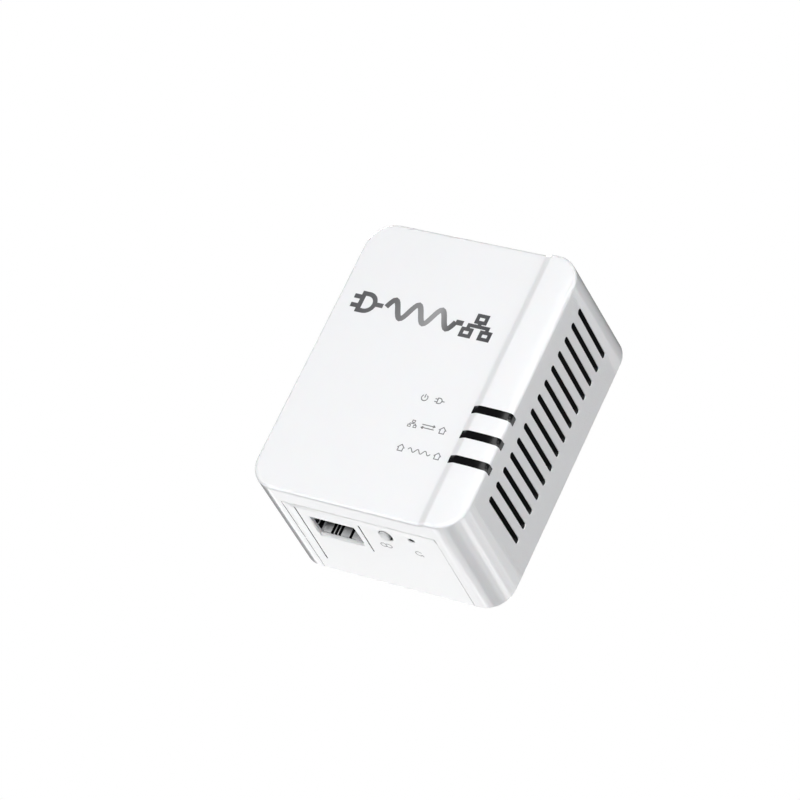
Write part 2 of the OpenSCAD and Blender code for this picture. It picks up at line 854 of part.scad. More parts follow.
module supply_controller() {
    color(BLACK) {
        part_block(5, -31, 9, 6.2, power_front - 3.5, power_front - 0.4);
        for (i = [-1.5:1:1.5], s = [-1, 1])
            part_block(5 + i * 2.54, -31 + s * 3.5, 0.5, 1, power_front - 1.6, power_front);
    }
}

// ---- sync button and switches ----

// Cap in the port panel, its side wings stop it falling out and its stem meets the switch
module sync_button() {
    face = panel_z(sync_y) - 0.35;
    color(PALE) translate([sync_x, sync_y, 0]) {
        translate([0, 0, face]) slot(2.4, 3.6, wing_z - face + 0.1);
        translate([-2.5, -1.7, wing_z]) cube([5, 3.4, 0.8]);
        translate([0, 0, wing_z + 0.7]) cylinder(r = 1, h = sync_rest - 0.05 - wing_z - 0.7);
    }
}

module sync_switch() {
    color(METAL) difference() {
        part_block(sync_x, -36.9, 6, 3.4, main_back, main_back + 3.6);
        // pocket with room for the plunger's travel
        translate([sync_x, sync_y, sync_rest]) cylinder(r = 1.2, h = sync_len + sync_travel + 0.5);
    }
}

module sync_plunger() {
    color(BLACK) translate([sync_x, sync_y, sync_rest]) cylinder(r = 1.1, h = sync_len);
}

module reset_switch() {
    color(METAL) difference() {
        part_block(reset_x, -38.3, 4.7, 2.6, main_back, main_back + 1.9);
        // pocket with room for the plunger's travel
        block(reset_x - 1.2, reset_x + 1.2, reset_y - 0.65, reset_y + 0.65,
              reset_rest, reset_rest + reset_len + reset_travel + 0.3);
    }
}

module reset_plunger() {
    color(BLACK)
        part_block(reset_x, reset_rest + reset_len / 2, 2.2, reset_len, reset_y - 0.55, reset_y + 0.55);
}

// ---- screws ----

// Pan-head screw along Y: the head stands on y, towards side s, and the shank goes the other way
module screw(x, z, y, s, head_r, head_t, shank) {
    head0 = min(y, y + s * head_t);
    shank0 = min(y, y - s * shank);
    outer = y + s * head_t;
    difference() {
        union() {
            rod(x, z, head_r, head0, head0 + head_t);
            rod(x, z, screw_r, shank0 - 0.01, shank0 + shank + 0.01);
        }
        part_block(x, z, 2.2, 0.5, outer - 0.6, outer + 0.6);
        part_block(x, z, 0.5, 2.2, outer - 0.6, outer + 0.6);
    }
}

module cover_screws() {
    color(METAL) for (p = POSTS) screw(p[0], p[1], back_y - 1.18, 1, 2.2, 1.1, 10);
}

module main_board_screws() {
    color(METAL) for (p = MAIN_SCREWS) screw(p[0], p[1], main_back + 0.02, 1, 1.9, 1.3, board_t + 4.2);
}

module power_board_screws() {
    color(METAL) for (p = POWER_SCREWS) screw(p[0], p[1], power_front - 0.02, -1, 1.9, 1.3, board_t + 4);
}

front_shell();
port_panel();
rear_cover();
blade_carrier();
insulating_sheet();
line_blade();
neutral_blade();
ground_pin();
rating_label();
status_lens();
light_shield();
power_led();
ethernet_led();
powerline_led();
main_board();
power_board();
jack_housing();
jack_shield();
jack_contacts();
lan_transformer();
processor();
thermal_pad();
heat_sink();
memory_chip();
flash_chip();
ethernet_chip();
line_driver();
crystal();
power_inductor();
surface_mount_parts();
link_socket();
link_header();
link_pins();
fuse();
varistor();
x_capacitor();
choke_core();
choke_windings();
bridge_rectifier();
upper_bulk_capacitor();
lower_bulk_capacitor();
transformer_core();
transformer_bobbin();
transformer_winding();
coupling_transformer();
safety_capacitor();
output_capacitor();
supply_controller();
sync_button();
sync_switch();
sync_plunger();
reset_switch();
reset_plunger();
cover_screws();
main_board_screws();
power_board_screws();
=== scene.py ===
import json
import math

import bmesh
import bpy
from mathutils import Matrix, Vector

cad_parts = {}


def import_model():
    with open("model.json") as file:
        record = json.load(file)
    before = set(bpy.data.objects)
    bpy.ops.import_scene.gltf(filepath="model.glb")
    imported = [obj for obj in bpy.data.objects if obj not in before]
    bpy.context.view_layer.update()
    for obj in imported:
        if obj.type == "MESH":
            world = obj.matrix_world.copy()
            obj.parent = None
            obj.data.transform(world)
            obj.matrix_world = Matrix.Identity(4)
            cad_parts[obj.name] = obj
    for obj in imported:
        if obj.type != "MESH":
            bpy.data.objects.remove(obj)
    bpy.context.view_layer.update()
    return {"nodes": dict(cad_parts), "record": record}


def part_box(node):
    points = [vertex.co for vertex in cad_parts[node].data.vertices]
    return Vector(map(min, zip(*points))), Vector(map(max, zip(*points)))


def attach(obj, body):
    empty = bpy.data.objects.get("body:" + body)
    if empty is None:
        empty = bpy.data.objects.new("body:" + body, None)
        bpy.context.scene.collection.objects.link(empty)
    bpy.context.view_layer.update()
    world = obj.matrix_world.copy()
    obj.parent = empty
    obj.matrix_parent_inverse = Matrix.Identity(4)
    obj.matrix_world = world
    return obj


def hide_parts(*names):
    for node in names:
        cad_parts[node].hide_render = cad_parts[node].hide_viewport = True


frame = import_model()
MM = 0.001

# ---- driving sizes, from the frame ----

SHELL_LOW, SHELL_HIGH = (Vector(corner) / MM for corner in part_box("front_shell"))
BACK_Y = SHELL_HIGH.y
MID_Z = (SHELL_LOW.z + SHELL_HIGH.z) / 2
BODY_W = SHELL_HIGH.x - SHELL_LOW.x
BODY_H = SHELL_HIGH.z - SHELL_LOW.z
STRIP_RISE = 1.0  # height of the strip on the right of the front
FRONT_Y = SHELL_LOW.y + STRIP_RISE
BODY_D = BACK_Y - FRONT_Y

TAPER_X = 0.16  # how much narrower the front is than the back, each side
TAPER_Z = 1.0  # how much shorter it is, each end
CORNER_R = 7.0
EDGE_R = 0.8
WALL = 1.8
FRONT_WALL = 2.0

STRIP_X = 18.4  # where the strip's bevel leaves the front
BEVEL_W = 1.9
STRIP_EDGE_RISE = 0.65  # height of the strip at the right edge
CREASE_R = 0.35

VENT_TOP, VENT_PITCH, VENT_COUNT = 28.2, 4.0, 14
VENTS = [VENT_TOP - VENT_PITCH * i for i in range(VENT_COUNT)]
VENT_W = 1.5
VENT_Y0 = FRONT_Y + 6.35
VENT_LEN = 20.9
VENT_CHAMFER = 0.12

WINDOW_TOP, WINDOW_PITCH = MID_Z - 6.15, 6.76
WINDOWS = [WINDOW_TOP - WINDOW_PITCH * i for i in range(3)]
WINDOW_H = 2.05
WINDOW_WRAP = 1.8  # how far a window runs back along the side

PANEL_W = 42.0
PANEL_FRONT = FRONT_Y + 5.5
PANEL_LEAD = 2.5  # length of the slope at the panel's front edge
PANEL_SINK = 0.35
PANEL_GAP = 0.14
GROOVES = [(-18.2, FRONT_Y + 7.4, 23.6), (-1.1, FRONT_Y + 9, 11.6)]  # place across, start and length
GROOVE_W = 0.32
JACK_X = -9.2
JACK_Y = FRONT_Y + 15
JACK_FACE = MID_Z - 36.7
MOUTH_W, MOUTH_D = 12.3, 8.4
SYNC = (5.6, FRONT_Y + 10.7)
RESET = (13.1, FRONT_Y + 9.75)

PLUG_W, PLUG_D = 11.9, 6.8  # hollow of the socket
CAVITY_BACK = JACK_Y + 4
CAVITY_FRONT = CAVITY_BACK - PLUG_D
CONTACT_PITCH = 1.02
CONTACTS = [JACK_X + (i - 3.5) * CONTACT_PITCH for i in (0, 1, 2, 5)]
CHANNEL_W = 0.7
GROUND_SLOTS = [JACK_Y - 0.6, JACK_Y + 1.85]
GROUND_SLOT_W = 1.8

COVER_IN = BACK_Y - 2.0
POST_X = 23.0
POST_Z = 32.4
POSTS = [(sx, sz, sx * POST_X, MID_Z + sz * POST_Z) for sx in (-1, 1) for sz in (-1, 1)]
MAIN_SCREWS = [(-21.5, 16), (21.5, 16), (-21.5, -32), (20.5, -32)]
POWER_SCREWS = [(-14, 24.5), (20.5, -31)]
PILOT_R = 1.02  # hole that a screw cuts its thread in
BOSS = 34.0
BOSS_R = 8
BOSS_WALL = 2
STANDOFF_END = -12.8
BLADE_X = 6.35
BLADE_W = 6.35
PIN_Z = -11.9
PIN_R = 2.375
CLAMP = (-6.0, -2.45)  # between these depths the blades' shoulders and the pin's flange are held

ARC = 20  # segments in a quarter circle of the outline


# ---- geometry helpers ----

def mesh_object(name, verts, faces, materials=()):
    """New object from points in millimetres."""
    mesh = bpy.data.meshes.new(name)
    mesh.from_pydata([Vector(v) * MM for v in verts], [], faces)
    mesh.validate()
    obj = bpy.data.objects.new(name, mesh)
    bpy.context.scene.collection.objects.link(obj)
    for material in materials:
        mesh.materials.append(material)
    return obj


def tidy_normals(obj):
    """Turns the faces of closed skins outward."""
    bm = bmesh.new()
    bm.from_mesh(obj.data)
    bmesh.ops.recalc_face_normals(bm, faces=bm.faces)
    bm.to_mesh(obj.data)
    bm.free()
    return obj


def loft(name, rings, materials=()):
    """Closed solid through rings that have the same number of points."""
    count = len(rings[0])
    verts = [p for ring in rings for p in ring]
    faces = [tuple(range(count))]
    for k in range(len(rings) - 1):
        a, b = k * count, (k + 1) * count
        for i in range(count):
            j = (i + 1) % count
            faces.append((a + i, a + j, b + j, b + i))
    last = (len(rings) - 1) * count
    faces.append(tuple(reversed(range(last, last + count))))
    return tidy_normals(mesh_object(name, verts, faces, materials))


def rounded(w, h, r, arc=ARC, xs=()):
    """Outline of a rounded rectangle, with extra points at xs on its long straight ends."""
    points = []
    for cx, cz, start in ((1, 1, 0), (-1, 1, 90), (-1, -1, 180), (1, -1, 270)):
        for i in range(arc + 1):
            t = math.radians(start + 90 * i / arc)
            points.append((cx * (w / 2 - r) + r * math.cos(t), cz * (h / 2 - r) + r * math.sin(t)))
        if (cx, cz) == (1, 1):
            points += [(x, h / 2) for x in sorted(xs, reverse=True)]
        if (cx, cz) == (-1, -1):
            points += [(x, -h / 2) for x in sorted(xs)]
    return points


def prism_y(name, outline, y0, y1, materials=()):
    """Outline in X and Z, pushed from y0 to y1."""
    return loft(name, [[(x, y, z) for x, z in outline] for y in (y0, y1)], materials)


def prism_z(name, outline, z0, z1, materials=()):
    """Outline in X and Y, pushed from z0 to z1."""
    return loft(name, [[(x, y, z) for x, y in outline] for z in (z0, z1)], materials)


def prism_x(name, outline, x0, x1, materials=()):
    """Outline in Y and Z, pushed from x0 to x1."""
    return loft(name, [[(x, y, z) for y, z in outline] for x in (x0, x1)], materials)


def block(name, x, y, z, materials=()):
    """Box from its low and high value along each axis."""
    return prism_z(name, [(x[0], y[0]), (x[1], y[0]), (x[1], y[1]), (x[0], y[1])], z[0], z[1], materials)


def rectangle(x, y, w, h):
    """Outline of a rectangle about its centre."""
    return [(x - w / 2, y - h / 2), (x + w / 2, y - h / 2), (x + w / 2, y + h / 2), (x - w / 2, y + h / 2)]


def circle(x, z, r, count=40):
    return [(x + r * math.cos(2 * math.pi * i / count), z + r * math.sin(2 * math.pi * i / count))
            for i in range(count)]


def stadium(w, l, arc=12):
    """Slot outline with round ends, w across and l long, along its second axis."""
    half = (l - w) / 2
    points = []
    for end in (1, -1):
        for i in range(arc + 1):
            t = math.radians((0 if end > 0 else 180) + 180 * i / arc)
            points.append((w / 2 * math.cos(t), end * half + w / 2 * math.sin(t)))
    return points


def lathe_y(name, x, z, profile, materials=(), count=48):
    """Turned solid round an axis along Y. The profile is (radius, y) from end to end."""
    rings = [[(x + r * math.cos(2 * math.pi * i / count), y, z + r * math.sin(2 * math.pi * i / count))
              for i in range(count)] for r, y in profile]
    return loft(name, rings, materials)


def join(name, objects):
    """One object from several, which are used up."""
    bm = bmesh.new()
    materials = []
    for obj in objects:
        index = {}
        for i, material in enumerate(obj.data.materials):
            if material not in materials:
                materials.append(material)
            index[i] = materials.index(material)
        start = len(bm.faces)
        bm.from_mesh(obj.data)
        bm.faces.ensure_lookup_table()
        for face in bm.faces[start:]:
            face.material_index = index.get(face.material_index, 0)
    mesh = bpy.data.meshes.new(name)
    bm.to_mesh(mesh)
    bm.free()
    for material in materials:
        mesh.materials.append(material)
    for obj in objects:
        bpy.data.objects.remove(obj)
    joined = bpy.data.objects.new(name, mesh)
    bpy.context.scene.collection.objects.link(joined)
    return joined


def apply(obj):
    """Turns the object's modifiers into its mesh."""
    graph = bpy.context.evaluated_depsgraph_get()
    mesh = bpy.data.meshes.new_from_object(obj.evaluated_get(graph))
    obj.modifiers.clear()
    obj.data = mesh
    return obj


def combine(obj, other, operation):
    """Boolean of obj with other, which is used up. The other's faces bring their material."""
    mod = obj.modifiers.new("combine", "BOOLEAN")
    mod.object = other
    mod.operation = operation
    mod.solver = "EXACT"
    mod.material_mode = "TRANSFER"
    apply(obj)
    bpy.data.objects.remove(other)
    return obj


def cut(obj, other):
    return combine(obj, other, "DIFFERENCE")


def fuse(obj, other):
    return combine(obj, other, "UNION")


def bevel(obj, width, segments=3, angle=40):
    """Rounds the edges that are sharper than angle, in degrees."""
    mod = obj.modifiers.new("bevel", "BEVEL")
    mod.width = width * MM
    mod.segments = segments
    mod.limit_method = "ANGLE"
    mod.angle_limit = math.radians(angle)
    mod.use_clamp_overlap = True
    mod.miter_outer = "MITER_ARC"
    return apply(obj)


def smooth(obj, angle=32):
    """Smooth shading that keeps flat faces flat."""
    obj.data.polygons.foreach_set("use_smooth", [True] * len(obj.data.polygons))
    obj.data.set_sharp_from_angle(angle=math.radians(angle))
    mod = obj.modifiers.new("weighted", "WEIGHTED_NORMAL")
    mod.keep_sharp = True
    mod.mode = "FACE_AREA"
    return apply(obj)


def clean(obj):
    """Merges doubled points and removes faces of no area."""
    bm = bmesh.new()
    bm.from_mesh(obj.data)
    bmesh.ops.remove_doubles(bm, verts=bm.verts, dist=1e-7)
    bmesh.ops.dissolve_degenerate(bm, edges=bm.edges, dist=1e-7)
    bm.to_mesh(obj.data)
    bm.free()
    return obj


def place(obj, body, slot, *nodes):
    """Puts a finished piece on its body and hides the CAD nodes it stands for. Its slot, the name of its
    finish, is not used.
    """
    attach(obj, body)
    if nodes:
        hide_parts(*nodes)
    return obj


# ---- materials ----

def links(material):
    """The material's nodes and the function that links them."""
    return material.node_tree.nodes, material.node_tree.links.new


def surface(name, color, rough, metal=0.0, grain=0.4, grain_depth=0.01, tone=0.03, rough_spread=0.06,
            coat=0.0, sub=0.0):
    """Moulded or plated surface: fine grain in its bump, soft clouds in its colour and roughness.
    grain is the size of the grain and grain_depth its height, both in millimetres."""
    material = bpy.data.materials.new(name)
    material.use_nodes = True
    nodes, link = links(material)
    shader = nodes["Principled BSDF"]
    shader.inputs["Metallic"].default_value = metal
    shader.inputs["Coat Weight"].default_value = coat
    shader.inputs["Coat Roughness"].default_value = 0.06
    shader.inputs["Subsurface Weight"].default_value = sub
    shader.inputs["Subsurface Scale"].default_value = 0.0008
    place_of = nodes.new("ShaderNodeTexCoord").outputs["Object"]

    clouds = nodes.new("ShaderNodeTexNoise")
    clouds.inputs["Scale"].default_value = 90
    clouds.inputs["Detail"].default_value = 4
    link(place_of, clouds.inputs["Vector"])

    fine = nodes.new("ShaderNodeTexNoise")
    fine.inputs["Scale"].default_value = 1 / (grain * MM)
    fine.inputs["Detail"].default_value = 3
    link(place_of, fine.inputs["Vector"])

    tint = nodes.new("ShaderNodeMix")
    tint.data_type = "RGBA"
    tint.inputs["A"].default_value = (*[c * (1 - tone) for c in color], 1)
    tint.inputs["B"].default_value = (*[min(1.0, c * (1 + tone)) for c in color], 1)
    link(clouds.outputs["Fac"], tint.inputs["Factor"])
    link(tint.outputs["Result"], shader.inputs["Base Color"])

    spread = nodes.new("ShaderNodeMapRange")
    spread.inputs["From Min"].default_value = 0.3
    spread.inputs["From Max"].default_value = 0.7
    spread.inputs["To Min"].default_value = max(0.02, rough - rough_spread)
    spread.inputs["To Max"].default_value = rough + rough_spread
    link(fine.outputs["Fac"], spread.inputs["Value"])
    link(spread.outputs["Result"], shader.inputs["Roughness"])

    bump = nodes.new("ShaderNodeBump")
    bump.inputs["Strength"].default_value = 0.6
    bump.inputs["Distance"].default_value = grain_depth * MM
    link(fine.outputs["Fac"], bump.inputs["Height"])
    link(bump.outputs["Normal"], shader.inputs["Normal"])
    return material


SIDE_ROUGH = 0.45
# Colour of the textured sides: a little greyer than the front, as painted shade of the sides.
SIDE_COLOR_AND_SHADE = (0.82, 0.825, 0.835, 1)
TEXTURE_END = BODY_H / 2 - CORNER_R - 2.3  # height at which the texture of the sides stops


def shell_material():
    """White plastic: polished, with a fine spark texture on the flat part of its two sides, where its colour
    is painted a little greyer as shade.
    """
    material = surface("shell_white", (0.86, 0.865, 0.875), 0.12, grain=0.3, grain_depth=0.1,
                       tone=0.008, rough_spread=0.02, sub=0.04)
    nodes, link = links(material)
    shader = nodes["Principled BSDF"]
    shader.inputs["Specular IOR Level"].default_value = 0.35
    place_of = nodes.new("ShaderNodeSeparateXYZ")
    link(nodes["Texture Coordinate"].outputs["Object"], place_of.inputs["Vector"])

    def ramp(value, start, end):
        node = nodes.new("ShaderNodeMapRange")
        node.interpolation_type = "SMOOTHSTEP"
        node.inputs["From Min"].default_value = start * MM
        node.inputs["From Max"].default_value = end * MM
        link(value, node.inputs["Value"])
        return node.outputs["Result"]

    def calculate(operation, a, b=None):
        node = nodes.new("ShaderNodeMath")
        node.operation = operation
        link(a, node.inputs[0])
        if b is not None:
            link(b, node.inputs[1])
        return node

    height = calculate("SUBTRACT", place_of.outputs["Z"])
    height.inputs[1].default_value = MID_Z * MM
    height = calculate("ABSOLUTE", height.outputs["Value"])
    width = calculate("ABSOLUTE", place_of.outputs["X"])
    flat = ramp(height.outputs["Value"], TEXTURE_END, TEXTURE_END - 0.5)
    back = ramp(place_of.outputs["Y"], FRONT_Y + 0.5, FRONT_Y + 0.9)
    side = ramp(width.outputs["Value"], BODY_W / 2 - 1.5, BODY_W / 2 - 1.0)
    mask = calculate("MULTIPLY", flat, calculate("MULTIPLY", back, side).outputs["Value"]).outputs["Value"]

    rough = nodes.new("ShaderNodeMix")
    rough.inputs["B"].default_value = SIDE_ROUGH
    link(mask, rough.inputs["Factor"])
    link(shader.inputs["Roughness"].links[0].from_socket, rough.inputs["A"])
    link(rough.outputs["Result"], shader.inputs["Roughness"])

    color = nodes.new("ShaderNodeMix")
    color.data_type = "RGBA"
    color.inputs["B"].default_value = SIDE_COLOR_AND_SHADE
    link(mask, color.inputs["Factor"])
    link(shader.inputs["Base Color"].links[0].from_socket, color.inputs["A"])
    link(color.outputs["Result"], shader.inputs["Base Color"])

    depth = nodes.new("ShaderNodeMapRange")
    depth.inputs["To Min"].default_value = 0.01
    depth.inputs["To Max"].default_value = 1.0
    link(mask, depth.inputs["Value"])
    link(depth.outputs["Result"], nodes["Bump"].inputs["Strength"])
    return material


def emblem_print_and_sheen():
    """Grey print with a painted reflection that makes it lighter in the middle of the emblem."""
    material = surface("emblem_print_and_sheen", (0.1, 0.1, 0.1), 0.35, grain=0.2, grain_depth=0.002)
    nodes, link = links(material)
    across = nodes.new("ShaderNodeSeparateXYZ")
    link(nodes["Texture Coordinate"].outputs["Object"], across.inputs["Vector"])
    along = nodes.new("ShaderNodeMapRange")
    along.inputs["From Min"].default_value = -24 * MM
    along.inputs["From Max"].default_value = 14 * MM
    link(across.outputs["X"], along.inputs["Value"])
    # The ramp paints the reflection: lighter grey in the middle, darker at both ends.
    ramp = nodes.new("ShaderNodeValToRGB")
    grey = ramp.color_ramp.elements
    grey[0].position, grey[0].color = 0.0, (0.10, 0.10, 0.105, 1)
    grey[1].position, grey[1].color = 1.0, (0.07, 0.07, 0.075, 1)
    for position, value in ((0.25, 0.15), (0.6, 0.34), (0.72, 0.12)):
        grey.new(position).color = (value, value, value * 1.02, 1)
    link(along.outputs["Result"], ramp.inputs["Fac"])
    link(ramp.outputs["Color"], nodes["Principled BSDF"].inputs["Base Color"])
    return material


def socket_material():
    """White plastic with painted shade that darkens it into the socket, where little light comes."""
    material = surface("jack_plastic", (0.84, 0.845, 0.85), 0.35, grain=0.25, grain_depth=0.01, tone=0.02)
    nodes, link = links(material)
    up = nodes.new("ShaderNodeSeparateXYZ")
    link(nodes["Texture Coordinate"].outputs["Object"], up.inputs["Vector"])
    depth = nodes.new("ShaderNodeMapRange")
    depth.inputs["From Min"].default_value = (JACK_FACE + 1.5) * MM
    depth.inputs["From Max"].default_value = (JACK_FACE + 3.0) * MM
    link(up.outputs["Z"], depth.inputs["Value"])
    shade = nodes.new("ShaderNodeMix")
    shade.data_type = "RGBA"
    shade.inputs["B"].default_value = (0.05, 0.05, 0.052, 1)
    link(depth.outputs["Result"], shade.inputs["Factor"])
    base = nodes["Principled BSDF"].inputs["Base Color"]
    link(base.links[0].from_socket, shade.inputs["A"])
    link(shade.outputs["Result"], base)
    return material


# name of the finish: colour, roughness and what else differs from a plain surface
LOOKS = {
    "panel_white": ((0.88, 0.885, 0.89), 0.22,
                    dict(grain=0.3, grain_depth=0.004, tone=0.008, rough_spread=0.03, sub=0.05)),
    "cover_white": ((0.84, 0.845, 0.85), 0.5, dict(grain=0.22, grain_depth=0.03, tone=0.012)),
    "button_white": ((0.70, 0.71, 0.72), 0.35, dict(grain=0.25, grain_depth=0.01, tone=0.01)),
    "black_plastic": ((0.02, 0.02, 0.022), 0.5, dict(grain=0.3, grain_depth=0.02, tone=0.1)),
    "window_black": ((0.003, 0.003, 0.0035), 0.12,
                     dict(grain=0.5, grain_depth=0.002, tone=0.1, rough_spread=0.02)),
    "insulating_film": ((0.7, 0.71, 0.72), 0.35, dict(grain=0.5, grain_depth=0.01)),
    "blade_metal": ((0.72, 0.71, 0.68), 0.28, dict(metal=0.88, grain=0.2, grain_depth=0.004)),
    "label_silver": ((0.55, 0.56, 0.57), 0.42, dict(metal=0.3, grain=0.3, grain_depth=0.004)),
    "led_lens": ((0.85, 0.78, 0.4), 0.3, dict(grain=0.4, coat=0.5)),
    "board_green": ((0.02, 0.16, 0.07), 0.3, dict(grain=0.8, grain_depth=0.02, tone=0.12, coat=0.3)),
    "sheet_steel": ((0.62, 0.63, 0.64), 0.32, dict(metal=1.0, grain=0.3, grain_depth=0.004)),
    "contact_gold": ((0.83, 0.62, 0.25), 0.25, dict(metal=1.0, grain=0.2, grain_depth=0.002)),
    "chip_black": ((0.028, 0.028, 0.03), 0.55, dict(grain=0.15, grain_depth=0.02, tone=0.1)),
    "pad_rubber": ((0.35, 0.45, 0.55), 0.7, dict(grain=0.4, grain_depth=0.02)),
    "sink_aluminium": ((0.5, 0.51, 0.53), 0.38, dict(metal=1.0, grain=0.3, grain_depth=0.01)),
    "ferrite": ((0.06, 0.06, 0.065), 0.6, dict(grain=0.25, grain_depth=0.02, tone=0.15)),
    "small_parts": ((0.42, 0.33, 0.22), 0.45, dict(grain=0.4, tone=0.15)),
    "fuse_brown": ((0.10, 0.04, 0.025), 0.35, dict(grain=0.4, tone=0.08)),
    "disc_blue": ((0.03, 0.12, 0.38), 0.28, dict(grain=0.8, grain_depth=0.05, tone=0.1, coat=0.3)),
    "box_yellow": ((0.70, 0.47, 0.06), 0.4, dict(grain=0.4, tone=0.06)),
    "copper_wire": ((0.50, 0.19, 0.07), 0.3, dict(metal=0.7, grain=0.5, grain_depth=0.1)),
    "tape_yellow": ((0.75, 0.56, 0.06), 0.3, dict(grain=1.0, grain_depth=0.05, coat=0.2)),
    "sleeve_dark": ((0.02, 0.03, 0.07), 0.3, dict(grain=0.6, grain_depth=0.01, tone=0.1)),
    "screw_steel": ((0.60, 0.61, 0.62), 0.3, dict(metal=1.0, grain=0.3, grain_depth=0.006)),
}
FINISH = {name: surface(name, color, rough, **more) for name, (color, rough, more) in LOOKS.items()}
FINISH["shell_white"] = WHITE = shell_material()
FINISH["jack_plastic"] = socket_material()
FINISH["window_black"].node_tree.nodes["Principled BSDF"].inputs["Specular IOR Level"].default_value = 0.55
# Near-black painted shade for the walls of slots, holes, grooves and gaps and for the hollow inside, where
# shadow falls.
INSIDE_SHADE = surface("inside_painted_shade", (0.004, 0.004, 0.0045), 0.7, grain=0.3, grain_depth=0.01, tone=0.1)
PRINT = surface("print_grey", (0.16, 0.16, 0.165), 0.4, grain=0.2, grain_depth=0.002, tone=0.05)

for part in frame["record"]["subparts"]:
    for slot in frame["nodes"][part["node"]].material_slots:
        slot.material = FINISH[part["material_slot"]]


# ---- shell ----

def strip_lift(x):
    """How far the front surface stands forward of the main face at x."""
    edge = BODY_W / 2 - TAPER_X
    top = STRIP_X + BEVEL_W
    if x <= STRIP_X:
        return 0.0
    if x <= top:
        return STRIP_RISE * (x - STRIP_X) / BEVEL_W
    return STRIP_RISE - (STRIP_RISE - STRIP_EDGE_RISE) * ((x - top) / (edge - EDGE_R - top)) ** 3


def softened(x, count=4):
    """strip_lift with its two creases rounded."""
    steps = [x + CREASE_R * (2 * i / count - 1) for i in range(count + 1)]
    return sum(strip_lift(s) for s in steps) / len(steps)


def crease_lines():
    """Places across the body where the rounding of a crease needs points."""
    return [crease + CREASE_R * i / 3 for crease in (STRIP_X, STRIP_X + BEVEL_W) for i in range(-3, 4)]


def outer_shell():
    """Drafted body with a rounded front edge and the raised strip."""
    xs = crease_lines()
    w, h = BODY_W - 2 * TAPER_X, BODY_H - 2 * TAPER_Z
    rings = [[(x, BACK_Y, z + MID_Z) for x, z in rounded(BODY_W, BODY_H, CORNER_R, xs=xs)]]
    steps = 8
    for k in range(steps + 1):
        t = math.radians(90 * k / steps)
        inset = EDGE_R * (1 - math.cos(t))
        y = FRONT_Y + EDGE_R * (1 - math.sin(t))
        ring = rounded(w - 2 * inset, h - 2 * inset, CORNER_R - inset, xs=xs)
        rings.append([(x, y - softened(x), z + MID_Z) for x, z in ring])
    body = loft("shell_skin", rings, [WHITE])
    split_front(body)
    return body


def split_front(body):
    """Splits the front cap from the strip's first crease to its edge, so that each face is nearly flat."""
    bm = bmesh.new()
    bm.from_mesh(body.data)
    front = max((f for f in bm.faces if f.normal.y < -0.9), key=lambda f: len(f.verts))
    start, end = (STRIP_X - 0.5) * MM, max(v.co.x for v in front.verts)
    for x in sorted({round(v.co.x, 8) for v in front.verts if start < v.co.x < end - 1e-7}):
        pair = [v for v in front.verts if abs(v.co.x - x) < 1e-7]
        if len(pair) == 2:
            new = bmesh.utils.face_split(front, pair[0], pair[1])
            if new and new[0] and new[0].calc_center_median().x > front.calc_center_median().x:
                front = new[0]
    bm.to_mesh(body.data)
    bm.free()


def low_z(y):
    """Height of the lower outer surface at depth y."""
    return MID_Z - BODY_H / 2 + TAPER_Z * (BACK_Y - y) / BODY_D


def panel_z(y, share=1.0):
    """Height of the port panel's outer face at depth y: sunk at its front, flush at the back edge."""
    return low_z(y) + share * PANEL_SINK * (BACK_Y - y) / (BACK_Y - PANEL_FRONT)


def inner_space():
    """Hollow of the shell, open at the back."""
    w, h = BODY_W - 2 * TAPER_X - 2 * WALL, BODY_H - 2 * TAPER_Z - 2 * WALL
    r = CORNER_R - WALL
    front = [(x, FRONT_Y + FRONT_WALL, z + MID_Z) for x, z in rounded(w, h, r)]
    back = [(x, BACK_Y + 1, z + MID_Z) for x, z in rounded(BODY_W - 2 * WALL, BODY_H - 2 * WALL, r)]
    # Its faces are the near-black painted shade.
    return loft("inner", [front, back], [INSIDE_SHADE])


def vent_cutter(grow, x0, x1, material):
    """All slots on both sides, each from x0 to x1, and wider by grow at the outer end."""
    cutters = []
    y = VENT_Y0 + VENT_LEN / 2
    for z in VENTS:
        for s in (-1, 1):
            rings = []
            for x, g in ((x0, 0.0), (x1, grow)):
                ring = stadium(VENT_W + 2 * g, VENT_LEN + 2 * g)
                rings.append([(s * x, y + v, MID_Z + z + u) for u, v in ring])
            cutters.append(loft("vent", rings, [material]))
    return join("vents", cutters)


def window_cutter(z):
    """Opening that crosses the strip and turns onto the side."""
    inner = BODY_W / 2 - WALL - 0.5
    outline = [
        (STRIP_X + 0.05, FRONT_Y - 5), (BODY_W, FRONT_Y - 5), (BODY_W, FRONT_Y + WINDOW_WRAP),
        (inner, FRONT_Y + WINDOW_WRAP), (inner, FRONT_Y + FRONT_WALL + 0.5),
        (STRIP_X + 0.05, FRONT_Y + FRONT_WALL + 0.5),
    ]
    # The window openings' walls get the near-black painted shade.
    return prism_z("window", outline, z - WINDOW_H / 2, z + WINDOW_H / 2, [INSIDE_SHADE])


